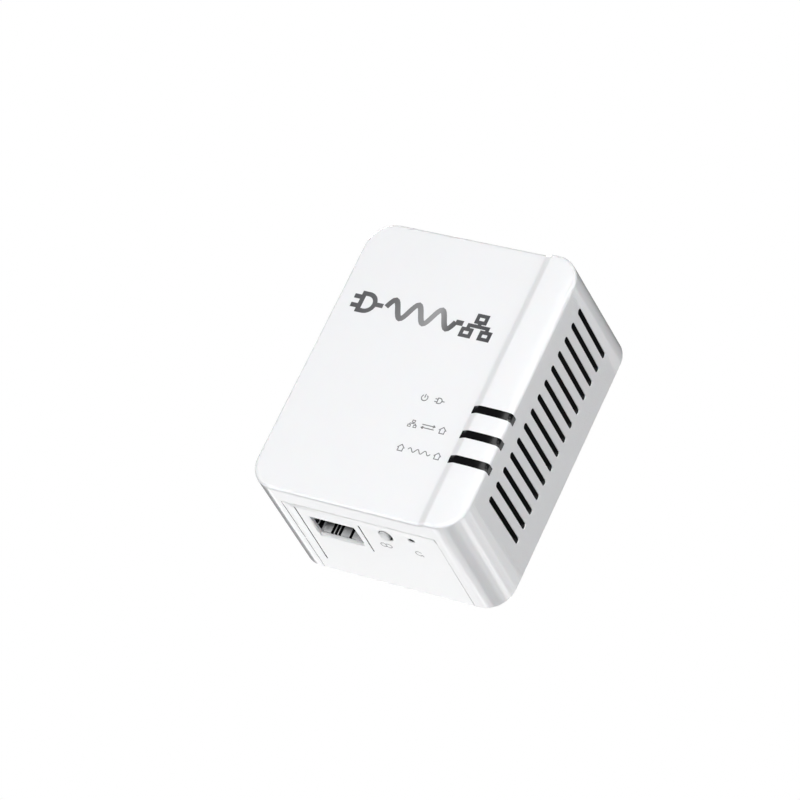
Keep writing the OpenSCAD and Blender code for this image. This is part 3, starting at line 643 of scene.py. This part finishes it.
def shell():
    """Front shell with its posts, vents, windows and the opening for the port panel."""
    # The hollow, the posts, webs and bosses and their bores bring the near-black painted shade.
    body = cut(outer_shell(), inner_space())
    root = FRONT_Y + FRONT_WALL - 0.5
    half_web = 0.6
    for sx, sz, x, z in POSTS:
        fuse(body, prism_y("post", circle(x, z, 3), root, COVER_IN, [INSIDE_SHADE]))
        reach = sx * (BODY_W / 2 - WALL + 0.5)
        fuse(body, block("web", sorted((x, reach)), (root, COVER_IN - 0.01),
                         (z - half_web, z + half_web), [INSIDE_SHADE]))
        end = MID_Z + sz * (BODY_H / 2 - WALL + 0.2)
        fuse(body, block("end_web", (x - half_web, x + half_web), (root, COVER_IN - 0.02),
                         sorted((z, end)), [INSIDE_SHADE]))
        cut(body, prism_y("bore", circle(x, z, PILOT_R, 24), COVER_IN - 12, COVER_IN + 1, [INSIDE_SHADE]))
    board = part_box("main_board")[0][1] / MM
    for x, z in MAIN_SCREWS:
        fuse(body, prism_y("boss", circle(x, z, 2.4), root, board, [INSIDE_SHADE]))
        cut(body, prism_y("boss_bore", circle(x, z, PILOT_R, 24), board - 4.6, board + 1, [INSIDE_SHADE]))
    # The slots' walls get the near-black painted shade; only a thin chamfer at their outer end stays white.
    cut(body, vent_cutter(VENT_CHAMFER, BODY_W / 2 - 0.22, BODY_W / 2 + 0.1, WHITE))
    cut(body, vent_cutter(0.0, BODY_W / 2 - 3, BODY_W / 2 + 1, INSIDE_SHADE))
    for z in WINDOWS:
        cut(body, window_cutter(z))
    # The opening's walls, the gap round the port panel, get the painted shade as well.
    cut(body, block("opening", (-PANEL_W / 2, PANEL_W / 2), (PANEL_FRONT, BACK_Y + 1),
                    (MID_Z - BODY_H, MID_Z - BODY_H / 2 + 3.6), [INSIDE_SHADE]))
    return smooth(clean(body))


place(shell(), "body", "shell_white", "front_shell")


# ---- status windows ----

def window_bars():
    """Dark glossy bars that follow the strip and turn the corner onto the side."""
    edge = BODY_W / 2 - TAPER_X
    x0 = STRIP_X + 0.12
    x1 = BODY_W / 2 - WALL - 0.6
    bars = []
    for z in WINDOWS:
        line = [(x0, FRONT_Y + FRONT_WALL)]
        xs = [x0 + 0.2 * i for i in range(12)] + [x0 + 2.4 + 0.6 * i for i in range(12)]
        line += [(x, FRONT_Y - softened(x)) for x in xs if x < edge - EDGE_R - 0.1]
        for k in range(9):
            t = math.radians(90 * k / 8)
            x = edge - EDGE_R + EDGE_R * math.sin(t)
            line.append((x, FRONT_Y + EDGE_R * (1 - math.cos(t)) - softened(edge - EDGE_R)))
        line += [(edge, FRONT_Y + WINDOW_WRAP - 0.06), (x1, FRONT_Y + WINDOW_WRAP - 0.06),
                 (x1, FRONT_Y + FRONT_WALL)]
        half = WINDOW_H / 2 - 0.05
        bars.append(bevel(prism_z("bar", line, z - half, z + half, [FINISH["window_black"]]), 0.08, 2, 60))
    low, high = (Vector(c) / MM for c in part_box("status_lens"))
    bars.append(bevel(block("carrier", (low.x, x1 - 0.1), (FRONT_Y + FRONT_WALL + 0.1, high.y),
                            (low.z, high.z), [FINISH["window_black"]]), 0.1, 2))
    return smooth(join("window_bars", bars))


place(window_bars(), "body", "window_black", "status_lens")


# ---- port panel ----

def panel_ring(x, share):
    """Cross-section of the panel at x. share says how far its face is sunk there."""
    y0 = PANEL_FRONT + 0.1
    y1 = y0 + PANEL_LEAD
    inner = WALL + 0.1
    return [(x, y0, low_z(y0)), (x, y1, panel_z(y1, share)), (x, BACK_Y, panel_z(BACK_Y, share)),
            (x, BACK_Y, low_z(BACK_Y) + inner), (x, y0, low_z(y0) + inner)]


def upright(name, outline, z0, z1, material, grow=0.0):
    """Cutter along Z whose outline in X and Y widens by grow at its lower end."""
    cx = sum(x for x, y in outline) / len(outline)
    cy = sum(y for x, y in outline) / len(outline)
    reach = max(max(abs(x - cx) for x, y in outline), max(abs(y - cy) for x, y in outline))
    f = 1 + grow / reach
    rings = [[(cx + (x - cx) * f, cy + (y - cy) * f, z0) for x, y in outline],
             [(x, y, z1) for x, y in outline]]
    return loft(name, rings, [material])


def port_panel():
    """Inset panel with side rails, the socket's mouth and pocket, two holes and two grooves."""
    edge = PANEL_W / 2 - PANEL_GAP
    sections = ((-edge, 0.2), (-edge + 0.5, 1), (edge - 0.5, 1), (edge, 0.2))
    rings = [panel_ring(x, share) for x, share in sections]
    panel = loft("panel_skin", rings, [FINISH["panel_white"]])
    for s in (-1, 1):
        x = s * (edge - 0.75)
        y0, y1 = PANEL_FRONT - 0.9, COVER_IN - 0.3
        inner = WALL + 0.08
        rail = [(y0, low_z(y0) + inner), (y1, low_z(y1) + inner),
                (y1, low_z(y1) + inner + 0.8), (y0, low_z(y0) + inner + 0.8)]
        fuse(panel, prism_x("rail", rail, x - 1.2, x + 1.2, [INSIDE_SHADE]))
    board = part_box("main_board")[1][1] / MM
    # The pocket's walls, like the rails', are the near-black painted shade.
    cut(panel, block("pocket", (JACK_X - 7.9, JACK_X + 7.9), (board - 0.1, JACK_Y + 7.15),
                     (JACK_FACE - 0.1, JACK_FACE + 5), [INSIDE_SHADE]))
    white = FINISH["panel_white"]
    # The holes of the button and the pin get walls of near-black painted shade; the mouth's walls stay white.
    for name, outline, grow, wall in (
        ("mouth", rectangle(JACK_X, JACK_Y, MOUTH_W, MOUTH_D), 0.3, white),
        ("button_hole", [(SYNC[0] + 0.2 + u, SYNC[1] + v) for u, v in stadium(3.3, 4.2)], 0.15, INSIDE_SHADE),
        ("pin_hole", circle(*RESET, 0.7, 32), 0.2, INSIDE_SHADE),
    ):
        z = panel_z(sum(y for x, y in outline) / len(outline))
        cut(panel, upright(name, outline, z - 0.1, z + 0.2, white, 1.5 * grow))
        cut(panel, upright(name, outline, z - 1, z + 4, wall))
    for x, y, length in GROOVES:
        end = y + length
        # The grooves' faces are the near-black painted shade, which draws them as dark lines.
        groove = [(y, -60), (end, -60), (end, panel_z(end) + 0.3), (y, panel_z(y) + 0.3)]
        cut(panel, prism_x("groove", groove, x - GROOVE_W / 2, x + GROOVE_W / 2, [INSIDE_SHADE]))
    return smooth(clean(panel))


place(port_panel(), "body", "panel_white", "port_panel")


# ---- Ethernet socket ----

def jack_housing():
    """Socket block with its hollow, the latch's slot, the contacts' channels and the ground slots."""
    low, high = (Vector(c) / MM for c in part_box("jack_housing"))
    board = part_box("main_board")[1][1] / MM
    plastic = FINISH["jack_plastic"]
    body = block("jack_body", (low.x, high.x), (board, high.y), (low.z, high.z), [plastic])
    start = JACK_FACE - 1
    depth = (start, JACK_FACE + 14)
    cut(body, block("cavity", (JACK_X - PLUG_W / 2, JACK_X + PLUG_W / 2), (CAVITY_FRONT, CAVITY_BACK),
                    depth, [plastic]))
    cut(body, block("latch", (JACK_X - 3.1, JACK_X + 3.1), (CAVITY_FRONT - 1.25, CAVITY_FRONT + 1),
                    (start, JACK_FACE + 9), [plastic]))
    # The contacts' channels and the ground slots are lined with the near-black painted shade.
    channels = [block("channel", (x - CHANNEL_W / 2, x + CHANNEL_W / 2), (CAVITY_BACK - 1, CAVITY_BACK + 1.1),
                      depth, [INSIDE_SHADE]) for x in CONTACTS]
    half = GROUND_SLOT_W / 2
    channels += [block("ground_slot", (JACK_X - 9, JACK_X + 9), (y - half, y + half),
                       (start, JACK_FACE + 7.5), [INSIDE_SHADE]) for y in GROUND_SLOTS]
    cut(body, join("channels", channels))
    bevel(body, 0.1, 2, 60)
    for s in (-1, 1):
        peg = circle(JACK_X + s * 5.7, JACK_FACE + 9, 1.6)
        fuse(body, prism_y("peg", peg, low.y, board + 0.5, [plastic]))
    return smooth(clean(body))


def jack_contacts():
    """Four gold springs: each comes up its channel, turns over and slopes back into the cavity."""
    y = CAVITY_BACK + 0.95
    z = JACK_FACE + 3.2
    top = JACK_FACE + 13.7
    t = 0.3
    springs = []
    for x in CONTACTS:
        outline = [(y, top), (y, z + 0.25), (y - 0.1, z), (y - t - 0.2, z - 0.05), (y - t - 0.45, z + 0.1),
                   (y - 2.4, z + 6.5), (y - 2.1, z + 6.7), (y - t - 0.2, z + 0.6), (y - t, z + 1.0),
                   (y - t, top)]
        spring = prism_x("spring", outline, x - 0.2, x + 0.2, [FINISH["contact_gold"]])
        springs.append(bevel(spring, 0.05, 2, 60))
    return smooth(join("socket_springs", springs))


place(jack_housing(), "body", "jack_plastic", "jack_housing")
place(jack_contacts(), "body", "contact_gold", "jack_contacts")


# ---- sync button ----

def sync_button():
    """Domed cap with a softly rounded rim, two wings and a stem."""
    white = FINISH["button_white"]
    low, high = (Vector(c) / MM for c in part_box("sync_button"))
    wing = MID_Z - 35.7
    width, length, rim = 2.4, 3.6, 0.35

    def ring(outline, z):
        return [(SYNC[0] + u, SYNC[1] + v, z) for u, v in outline]

    rings = []
    for k in range(7):
        t = math.radians(90 * k / 6)
        inset = rim * (1 - math.sin(t))
        rings.append(ring(stadium(width - 2 * inset, length - 2 * inset), low.z + rim * (1 - math.cos(t))))
    rings.append(ring(stadium(width, length), wing + 0.1))
    cap = loft("cap", rings, [white])
    wings = block("wings", (low.x, high.x), (SYNC[1] - 1.7, SYNC[1] + 1.7), (wing, wing + 0.8), [white])
    bevel(wings, 0.12, 2)
    stem = loft("stem", [ring(circle(0, 0, 1.0, 32), z) for z in (wing + 0.7, high.z)], [white])
    return smooth(join("sync_cap", [cap, wings, stem]))


place(sync_button(), "sync_button", "button_white", "sync_button")


# ---- rear cover, plug and screws ----

def rear_cover():
    """Cover with the hollow plug boss, the blades' openings, counterbores and two standoffs."""
    white = FINISH["cover_white"]
    w, h = BODY_W - 2 * WALL - 0.5, BODY_H - 2 * WALL - 0.5
    r = CORNER_R - WALL

    def ring(w, h, r, y):
        return [(x, y, z + MID_Z) for x, z in rounded(w, h, r)]

    cover = loft("cover_skin", [ring(w, h, r, COVER_IN), ring(w, h, r, BACK_Y - 0.25),
                                ring(w - 0.5, h - 0.5, r - 0.25, BACK_Y)], [white])
    edge = 0.9
    boss = [ring(BOSS, BOSS, BOSS_R, BACK_Y - 0.5)]
    for k in range(7):
        t = math.radians(90 * k / 6)
        inset = edge * (1 - math.cos(t))
        size = BOSS - 2 * inset
        boss.append(ring(size, size, BOSS_R - inset, -edge * (1 - math.sin(t))))
    fuse(cover, loft("boss", boss, [white]))
    for x, z in POWER_SCREWS:
        fuse(cover, prism_y("standoff", circle(x, z, 2.3), STANDOFF_END, COVER_IN + 0.5, [white]))
    inner = BOSS - 2 * BOSS_WALL
    hollow = [ring(inner, inner, BOSS_R - BOSS_WALL, y) for y in (COVER_IN - 1, -2.4)]
    cut(cover, loft("hollow", hollow, [white]))
    # The blades' slots, the pin's hole and the screw holes get walls of near-black painted shade.
    half = BLADE_W / 2 + 0.05
    for x in (-BLADE_X, BLADE_X):
        cut(cover, block("slot", (x - 0.8, x + 0.8), (-3, 1), (-half, half), [INSIDE_SHADE]))
    cut(cover, prism_y("pin_hole", circle(0, PIN_Z, 2.65), -3, 1, [INSIDE_SHADE]))
    for sx, sz, x, z in POSTS:
        cut(cover, prism_y("hole", circle(x, z, 1.3), COVER_IN - 1, BACK_Y + 1, [INSIDE_SHADE]))
        rings = [[(x + f * u, y, z + f * v) for u, v in circle(0, 0, 2.4)]
                 for y, f in ((BACK_Y - 1.2, 1), (BACK_Y - 0.2, 1), (BACK_Y + 0.1, 1.13))]
        cut(cover, loft("counterbore", rings, [white]))
    for x, z in POWER_SCREWS:
        cut(cover, prism_y("bore", circle(x, z, PILOT_R, 24), STANDOFF_END - 1, BACK_Y - 0.6, [white]))
    return smooth(clean(cover))


def blade(node):
    """Flat blade with a tapered tip, a cross hole, shoulders in the boss and a tail inside the body."""
    low, high = (Vector(c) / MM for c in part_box(node))
    x = (low.x + high.x) / 2
    w, tail, tip = BLADE_W / 2, 2, high.y
    back, front, shoulder = *CLAMP, 4.2
    upper = [(tip, w - 1.6), (tip - 0.7, w - 0.7), (tip - 1.8, w), (front, w), (front, shoulder),
             (back, shoulder), (back, tail), (low.y, tail)]
    outline = [(y, -v) for y, v in reversed(upper)] + upper
    body = prism_x(node + "_skin", outline, low.x, high.x, [FINISH["blade_metal"]])
    hole_y, hole_r = 11.7, 1.6
    hole = [[(hx, hole_y + u, v) for u, v in circle(0, 0, hole_r, 32)] for hx in (x - 2, x + 2)]
    cut(body, loft("hole", hole, [FINISH["blade_metal"]]))
    return smooth(clean(bevel(body, 0.18, 3, 50)))


def ground_pin():
    """Round pin with a domed end, a flange in the boss and a thin tail inside the body."""
    low, high = (Vector(c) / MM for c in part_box("ground_pin"))
    root, flange, tail = 2.6, 3.6, 1.5
    back, front = CLAMP
    profile = [(tail - 0.2, low.y), (tail, low.y + 0.2), (tail, back), (flange - 0.15, back),
               (flange, back + 0.15), (flange, front - 0.15), (flange - 0.15, front), (root, front),
               (root, -0.08), (root - 0.08, 0.0), (PIN_R, 0.0)]
    straight = high.y - PIN_R
    for k in range(13):
        t = math.radians(86 * k / 12)
        profile.append((PIN_R * math.cos(t), straight + PIN_R * math.sin(t)))
    profile.append((0.02, high.y))
    return smooth(lathe_y("ground_pin_skin", 0, PIN_Z, profile, [FINISH["blade_metal"]]), 40)


def cover_screws():
    """Pan heads with a domed top, a rounded rim and a cross recess."""
    steel = FINISH["screw_steel"]
    low, high = (Vector(c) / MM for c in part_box("cover_screws"))
    seat = BACK_Y - 1.18
    profile = [(0.6, low.y), (1.0, low.y + 0.6), (1.0, seat), (2.15, seat), (2.2, seat + 0.06),
               (2.2, seat + 0.55), (2.1, seat + 0.8), (1.8, seat + 0.98), (1.2, high.y - 0.03),
               (0.6, high.y)]
    heads = []
    for sx, sz, x, z in POSTS:
        screw = lathe_y("screw", x, z, profile, [steel])
        for w, h in ((2.5, 0.56), (0.56, 2.5)):
            rings = [[(u, y, v) for u, v in rectangle(x, z, w * f, h * f)]
                     for y, f in ((high.y - 0.7, 0.75), (high.y + 0.1, 1.0))]
            cut(screw, loft("recess", rings, [steel]))
        heads.append(screw)
    return smooth(join("cover_screw_set", heads))


def rating_label():
    """Blank label with rounded corners."""
    low, high = (Vector(c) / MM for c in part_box("rating_label"))
    z = (low.z + high.z) / 2
    outline = [(x, v + z) for x, v in rounded(high.x - low.x, high.z - low.z, 1.0, 8)]
    return smooth(prism_y("blank_label", outline, BACK_Y - 0.02, high.y, [FINISH["label_silver"]]))


place(rear_cover(), "body", "cover_white", "rear_cover")
for node in ("line_blade", "neutral_blade"):
    place(blade(node), "body", "blade_metal", node)
place(ground_pin(), "body", "blade_metal", "ground_pin")
place(cover_screws(), "body", "screw_steel", "cover_screws")
place(rating_label(), "body", "label_silver", "rating_label")


# ---- printed symbols ----

def ribbon(points, width, closed=False):
    """Left and right edges of a line drawn with a given width, its joints mitred."""
    n = len(points)
    left, right = [], []
    for i in range(n):
        a = Vector(points[i - 1] if closed or i else points[0])
        b = Vector(points[i])
        c = Vector(points[(i + 1) % n] if closed or i < n - 1 else points[-1])
        before = (b - a).normalized() if (b - a).length else (c - b).normalized()
        after = (c - b).normalized() if (c - b).length else before
        bisector = before + after
        if bisector.length < 1e-6:
            bisector = before
        bisector.normalize()
        normal = Vector((-bisector.y, bisector.x))
        stretch = min(2.0, 1 / max(0.3, bisector.dot(after)))
        left.append(b + normal * width / 2 * stretch)
        right.append(b - normal * width / 2 * stretch)
    return left, right


def printed(name, strokes, where, material, thickness=0.03):
    """Thin printed marks. strokes are (points, width, closed), each a little thicker than the one before,
    and where maps a point of the drawing and a height above the surface to the frame."""
    verts, faces = [], []

    def add(flat, quads, borders, layer):
        base, n = len(verts), len(flat)
        for lift in (0.0, thickness + 0.003 * layer):
            verts.extend(where(p[0], p[1], lift) for p in flat)
        for q in quads:
            faces.append([base + n + i for i in q])
            faces.append([base + i for i in reversed(q)])
        for a, b in borders:
            faces.append([base + a, base + b, base + n + b, base + n + a])

    for layer, (points, width, closed) in enumerate(strokes):
        left, right = ribbon(points, width, closed)
        n = len(points)
        quads, borders = [], []
        for i in range(n if closed else n - 1):
            j = (i + 1) % n
            quads.append((i, j, n + j, n + i))
            borders += [(j, i), (n + i, n + j)]
        if not closed:
            borders += [(0, n), (2 * n - 1, n - 1)]
        add(left + right, quads, borders, layer % 6)
    return tidy_normals(mesh_object(name, verts, faces, [material]))


def arc(cx, cy, r, start, end, count=20):
    """Points along an arc from start to end, in degrees."""
    return [(cx + r * math.cos(math.radians(start + (end - start) * i / count)),
             cy + r * math.sin(math.radians(start + (end - start) * i / count))) for i in range(count + 1)]


def wave(x0, x1, y, height, periods, count=16):
    """Points along a sine wave, with count of them in each period."""
    n = int(periods * count)
    return [(x0 + (x1 - x0) * i / n, y + height * math.sin(2 * math.pi * periods * i / n))
            for i in range(n + 1)]


def tree_symbol(cx, cy, s, w):
    """Network symbol: one box above two, joined by lines. s is its height and w the line width."""
    b = 0.30 * s
    top, low = cy + s / 2 - b / 2, cy - s / 2 + b / 2
    dx = 0.42 * s
    return [(rectangle(cx, top, b * 1.3, b), w, True), (rectangle(cx - dx, low, b * 1.3, b), w, True),
            (rectangle(cx + dx, low, b * 1.3, b), w, True), ([(cx, top - b / 2), (cx, cy)], w, False),
            ([(cx - dx, low + b / 2), (cx - dx, cy), (cx + dx, cy), (cx + dx, low + b / 2)], w, False)]


def plug_symbol(cx, cy, s, w):
    """Plug symbol: two prongs to the left of a rounded body, with a lead to the right."""
    body = [(cx - 0.3 * s, cy - 0.42 * s), (cx - 0.3 * s, cy + 0.42 * s)] \
        + [(x, y) for x, y in reversed(arc(cx - 0.05 * s, cy, 0.42 * s, -90, 90))]
    prongs = [([(cx - 0.3 * s, cy + k * 0.22 * s), (cx - 0.72 * s, cy + k * 0.22 * s)], w, False)
              for k in (-1, 1)]
    return [(body, w, True)] + prongs + [([(cx + 0.37 * s, cy), (cx + 0.8 * s, cy)], w, False)]


def house_symbol(cx, cy, s, w):
    """House symbol: three walls under a roof."""
    walls = [(cx - 0.36 * s, cy + 0.05 * s), (cx - 0.36 * s, cy - 0.5 * s), (cx + 0.36 * s, cy - 0.5 * s),
             (cx + 0.36 * s, cy + 0.05 * s)]
    roof = [(cx - 0.55 * s, cy - 0.02 * s), (cx, cy + 0.5 * s), (cx + 0.55 * s, cy - 0.02 * s)]
    return [(walls, w, False), (roof, w, False)]


def power_symbol(cx, cy, s, w):
    """Power symbol: an open ring with a stroke in its gap."""
    return [(arc(cx, cy, 0.45 * s, 125, 415), w, False), ([(cx, cy), (cx, cy + 0.55 * s)], w, False)]


def arrow(x0, x1, y, w, head):
    """Arrow from x0 to x1. head is the length of its head."""
    base = x1 - head if x1 > x0 else x1 + head
    tip = [(base, y + head * 0.7), (x1, y), (base, y - head * 0.7)]
    return [([(x0, y), (x1, y)], w, False), (tip, w, False)]


def on_front(u, v, lift):
    """Point of a drawing on the front, lift above it."""
    return (u, FRONT_Y - softened(u) - lift, v)


def on_panel(u, v, lift):
    """Point of a drawing on the port panel, lift below it."""
    return (u, v, panel_z(v) - lift)


LINE = 0.22
EMBLEM_Z = MID_Z + 15
emblem = plug_symbol(-20.6, EMBLEM_Z, 5.6, 1.2) + [(wave(-15.2, 4.0, EMBLEM_Z, 2.3, 3), 1.4, False)] \
    + [([(4.0, EMBLEM_Z), (6.0, EMBLEM_Z)], 1.4, False)] + tree_symbol(10.2, EMBLEM_Z, 6.0, 0.95)
place(printed("emblem", emblem, on_front, emblem_print_and_sheen()), "body", "black_plastic")

rows = [MID_Z - 5.9, MID_Z - 13.05, MID_Z - 19.65]
icons = power_symbol(5.4, rows[0], 1.8, LINE) + plug_symbol(9.4, rows[0], 1.7, LINE)
icons += tree_symbol(5.6, rows[1], 1.8, LINE * 0.85) + arrow(8.0, 11.4, rows[1] + 0.4, LINE, 0.5) \
    + arrow(11.4, 8.0, rows[1] - 0.4, LINE, 0.5) + house_symbol(13.6, rows[1], 1.7, LINE)
icons += house_symbol(5.5, rows[2], 1.7, LINE) + [(wave(7.4, 13.4, rows[2], 0.5, 3), LINE, False)] \
    + house_symbol(15.3, rows[2], 1.7, LINE)
place(printed("front_symbols", icons, on_front, PRINT), "body", "black_plastic")

MARK_Y = FRONT_Y + 15.5
turn = RESET[0]
marks = [(arc(3.5, MARK_Y, 0.8, 0, 342, 24), LINE, False),
         (arc(4.9, MARK_Y, 0.8, 180, 522, 24), LINE, False),
         (arc(turn, MARK_Y, 0.9, 40, 330, 24), LINE, False),
         ([(turn + 0.25, MARK_Y + 0.75), (turn + 0.8, MARK_Y + 0.5), (turn + 0.95, MARK_Y + 1.15)],
          LINE, False)]
place(printed("panel_symbols", marks, on_panel, PRINT, 0.02), "body", "black_plastic")


# ---- camera, light and floor ----

def aim(obj, position, forward, up):
    """Places obj at position, looking along forward, with up upward in its view."""
    z = -Vector(forward).normalized()
    x = Vector(up).cross(z).normalized()
    y = z.cross(x)
    matrix = Matrix((x, y, z)).transposed().to_4x4()
    matrix.translation = Vector(position) * MM
    obj.matrix_world = matrix


def camera():
    """Long lens from the lower front right."""
    data = bpy.data.cameras.new("camera")
    data.lens = 154.2
    data.sensor_width = 36
    data.clip_start = 0.01
    obj = bpy.data.objects.new("camera", data)
    bpy.context.scene.collection.objects.link(obj)
    aim(obj, (387.9, -671.0, -310.5), (-0.4878, 0.7895, 0.3726), (-0.1987, -0.5160, 0.8332))
    bpy.context.scene.camera = obj


def soft_light(name, position, size, power, target=(0, -25, -6), tall=None):
    """Rectangular studio light aimed at the object. power is in watts."""
    data = bpy.data.lights.new(name, "AREA")
    data.shape = "RECTANGLE"
    data.size = size * MM
    data.size_y = (tall or size) * MM
    data.energy = power
    obj = bpy.data.objects.new(name, data)
    bpy.context.scene.collection.objects.link(obj)
    obj.visible_camera = False
    aim(obj, position, Vector(target) - Vector(position), (0, 0, 1))


def world():
    """White surroundings: full white as a background, softer as light and fading upward."""
    sky = bpy.data.worlds.new("studio")
    sky.use_nodes = True
    bpy.context.scene.world = sky
    nodes, link = sky.node_tree.nodes, sky.node_tree.links.new
    fill = nodes["Background"]
    fill.inputs["Color"].default_value = (0.95, 0.96, 1.0, 1)
    up = nodes.new("ShaderNodeSeparateXYZ")
    link(nodes.new("ShaderNodeTexCoord").outputs["Generated"], up.inputs["Vector"])
    fade = nodes.new("ShaderNodeMapRange")
    fade.inputs["From Min"].default_value = -0.2
    fade.inputs["From Max"].default_value = 0.5
    fade.inputs["To Min"].default_value = 0.12
    fade.inputs["To Max"].default_value = 0.07
    link(up.outputs["Z"], fade.inputs["Value"])
    link(fade.outputs["Result"], fill.inputs["Strength"])
    back = nodes.new("ShaderNodeBackground")
    back.inputs["Color"].default_value = (1, 1, 1, 1)
    back.inputs["Strength"].default_value = 1.0
    path = nodes.new("ShaderNodeLightPath")
    mix = nodes.new("ShaderNodeMixShader")
    link(path.outputs["Is Camera Ray"], mix.inputs["Fac"])
    link(fill.outputs["Background"], mix.inputs[1])
    link(back.outputs["Background"], mix.inputs[2])
    link(mix.outputs["Shader"], nodes["World Output"].inputs["Surface"])


def floor():
    """Pale floor well below the object. It glows softly, and its glow doesn't reach the object."""
    z, half = -1100, 6000
    pale = surface("floor", (0.8, 0.8, 0.81), 0.6, grain=4, grain_depth=0.01)
    shader = pale.node_tree.nodes["Principled BSDF"]
    shader.inputs["Emission Color"].default_value = (0.98, 0.985, 1, 1)
    shader.inputs["Emission Strength"].default_value = 0.6
    obj = mesh_object("floor", [(-half, -half, z), (half, -half, z), (half, half, z), (-half, half, z)],
                      [(0, 1, 2, 3)], [pale])
    obj.visible_diffuse = False
    obj.visible_glossy = False


camera()
world()
floor()
soft_light("key", (260, -940, -160), 420, 5.6)
soft_light("front_fill", (100, -980, -20), 300, 1.85)
soft_light("right", (920, -250, -10), 350, 2.9)
soft_light("below", (-600, 960, -470), 400, 1.68)
soft_light("below_edge", (-284, 976, -703), 560, 1.25, tall=150)
soft_light("corner_fall", (-45, 950, -762), 380, 0.46, tall=150)
soft_light("corner", (693, 919, -173), 250, 1.7, tall=1150)
soft_light("streak", (732, 976, -196), 240, 0.6)
soft_light("side_sheen", (567, 918, 433), 300, 0.22)
soft_light("edge", (600, -800, 380), 600, 0.8, tall=140)
soft_light("window_sheen", (-165, -945, 380), 200, 0.2, tall=140)
soft_light("front_edge", (-520, -400, -840), 450, 3.4)
soft_light("behind", (-150, 1200, 150), 500, 6)
soft_light("hidden_sides", (-1200, 320, 990), 500, 17)
bpy.context.scene.view_settings.view_transform = "Standard"
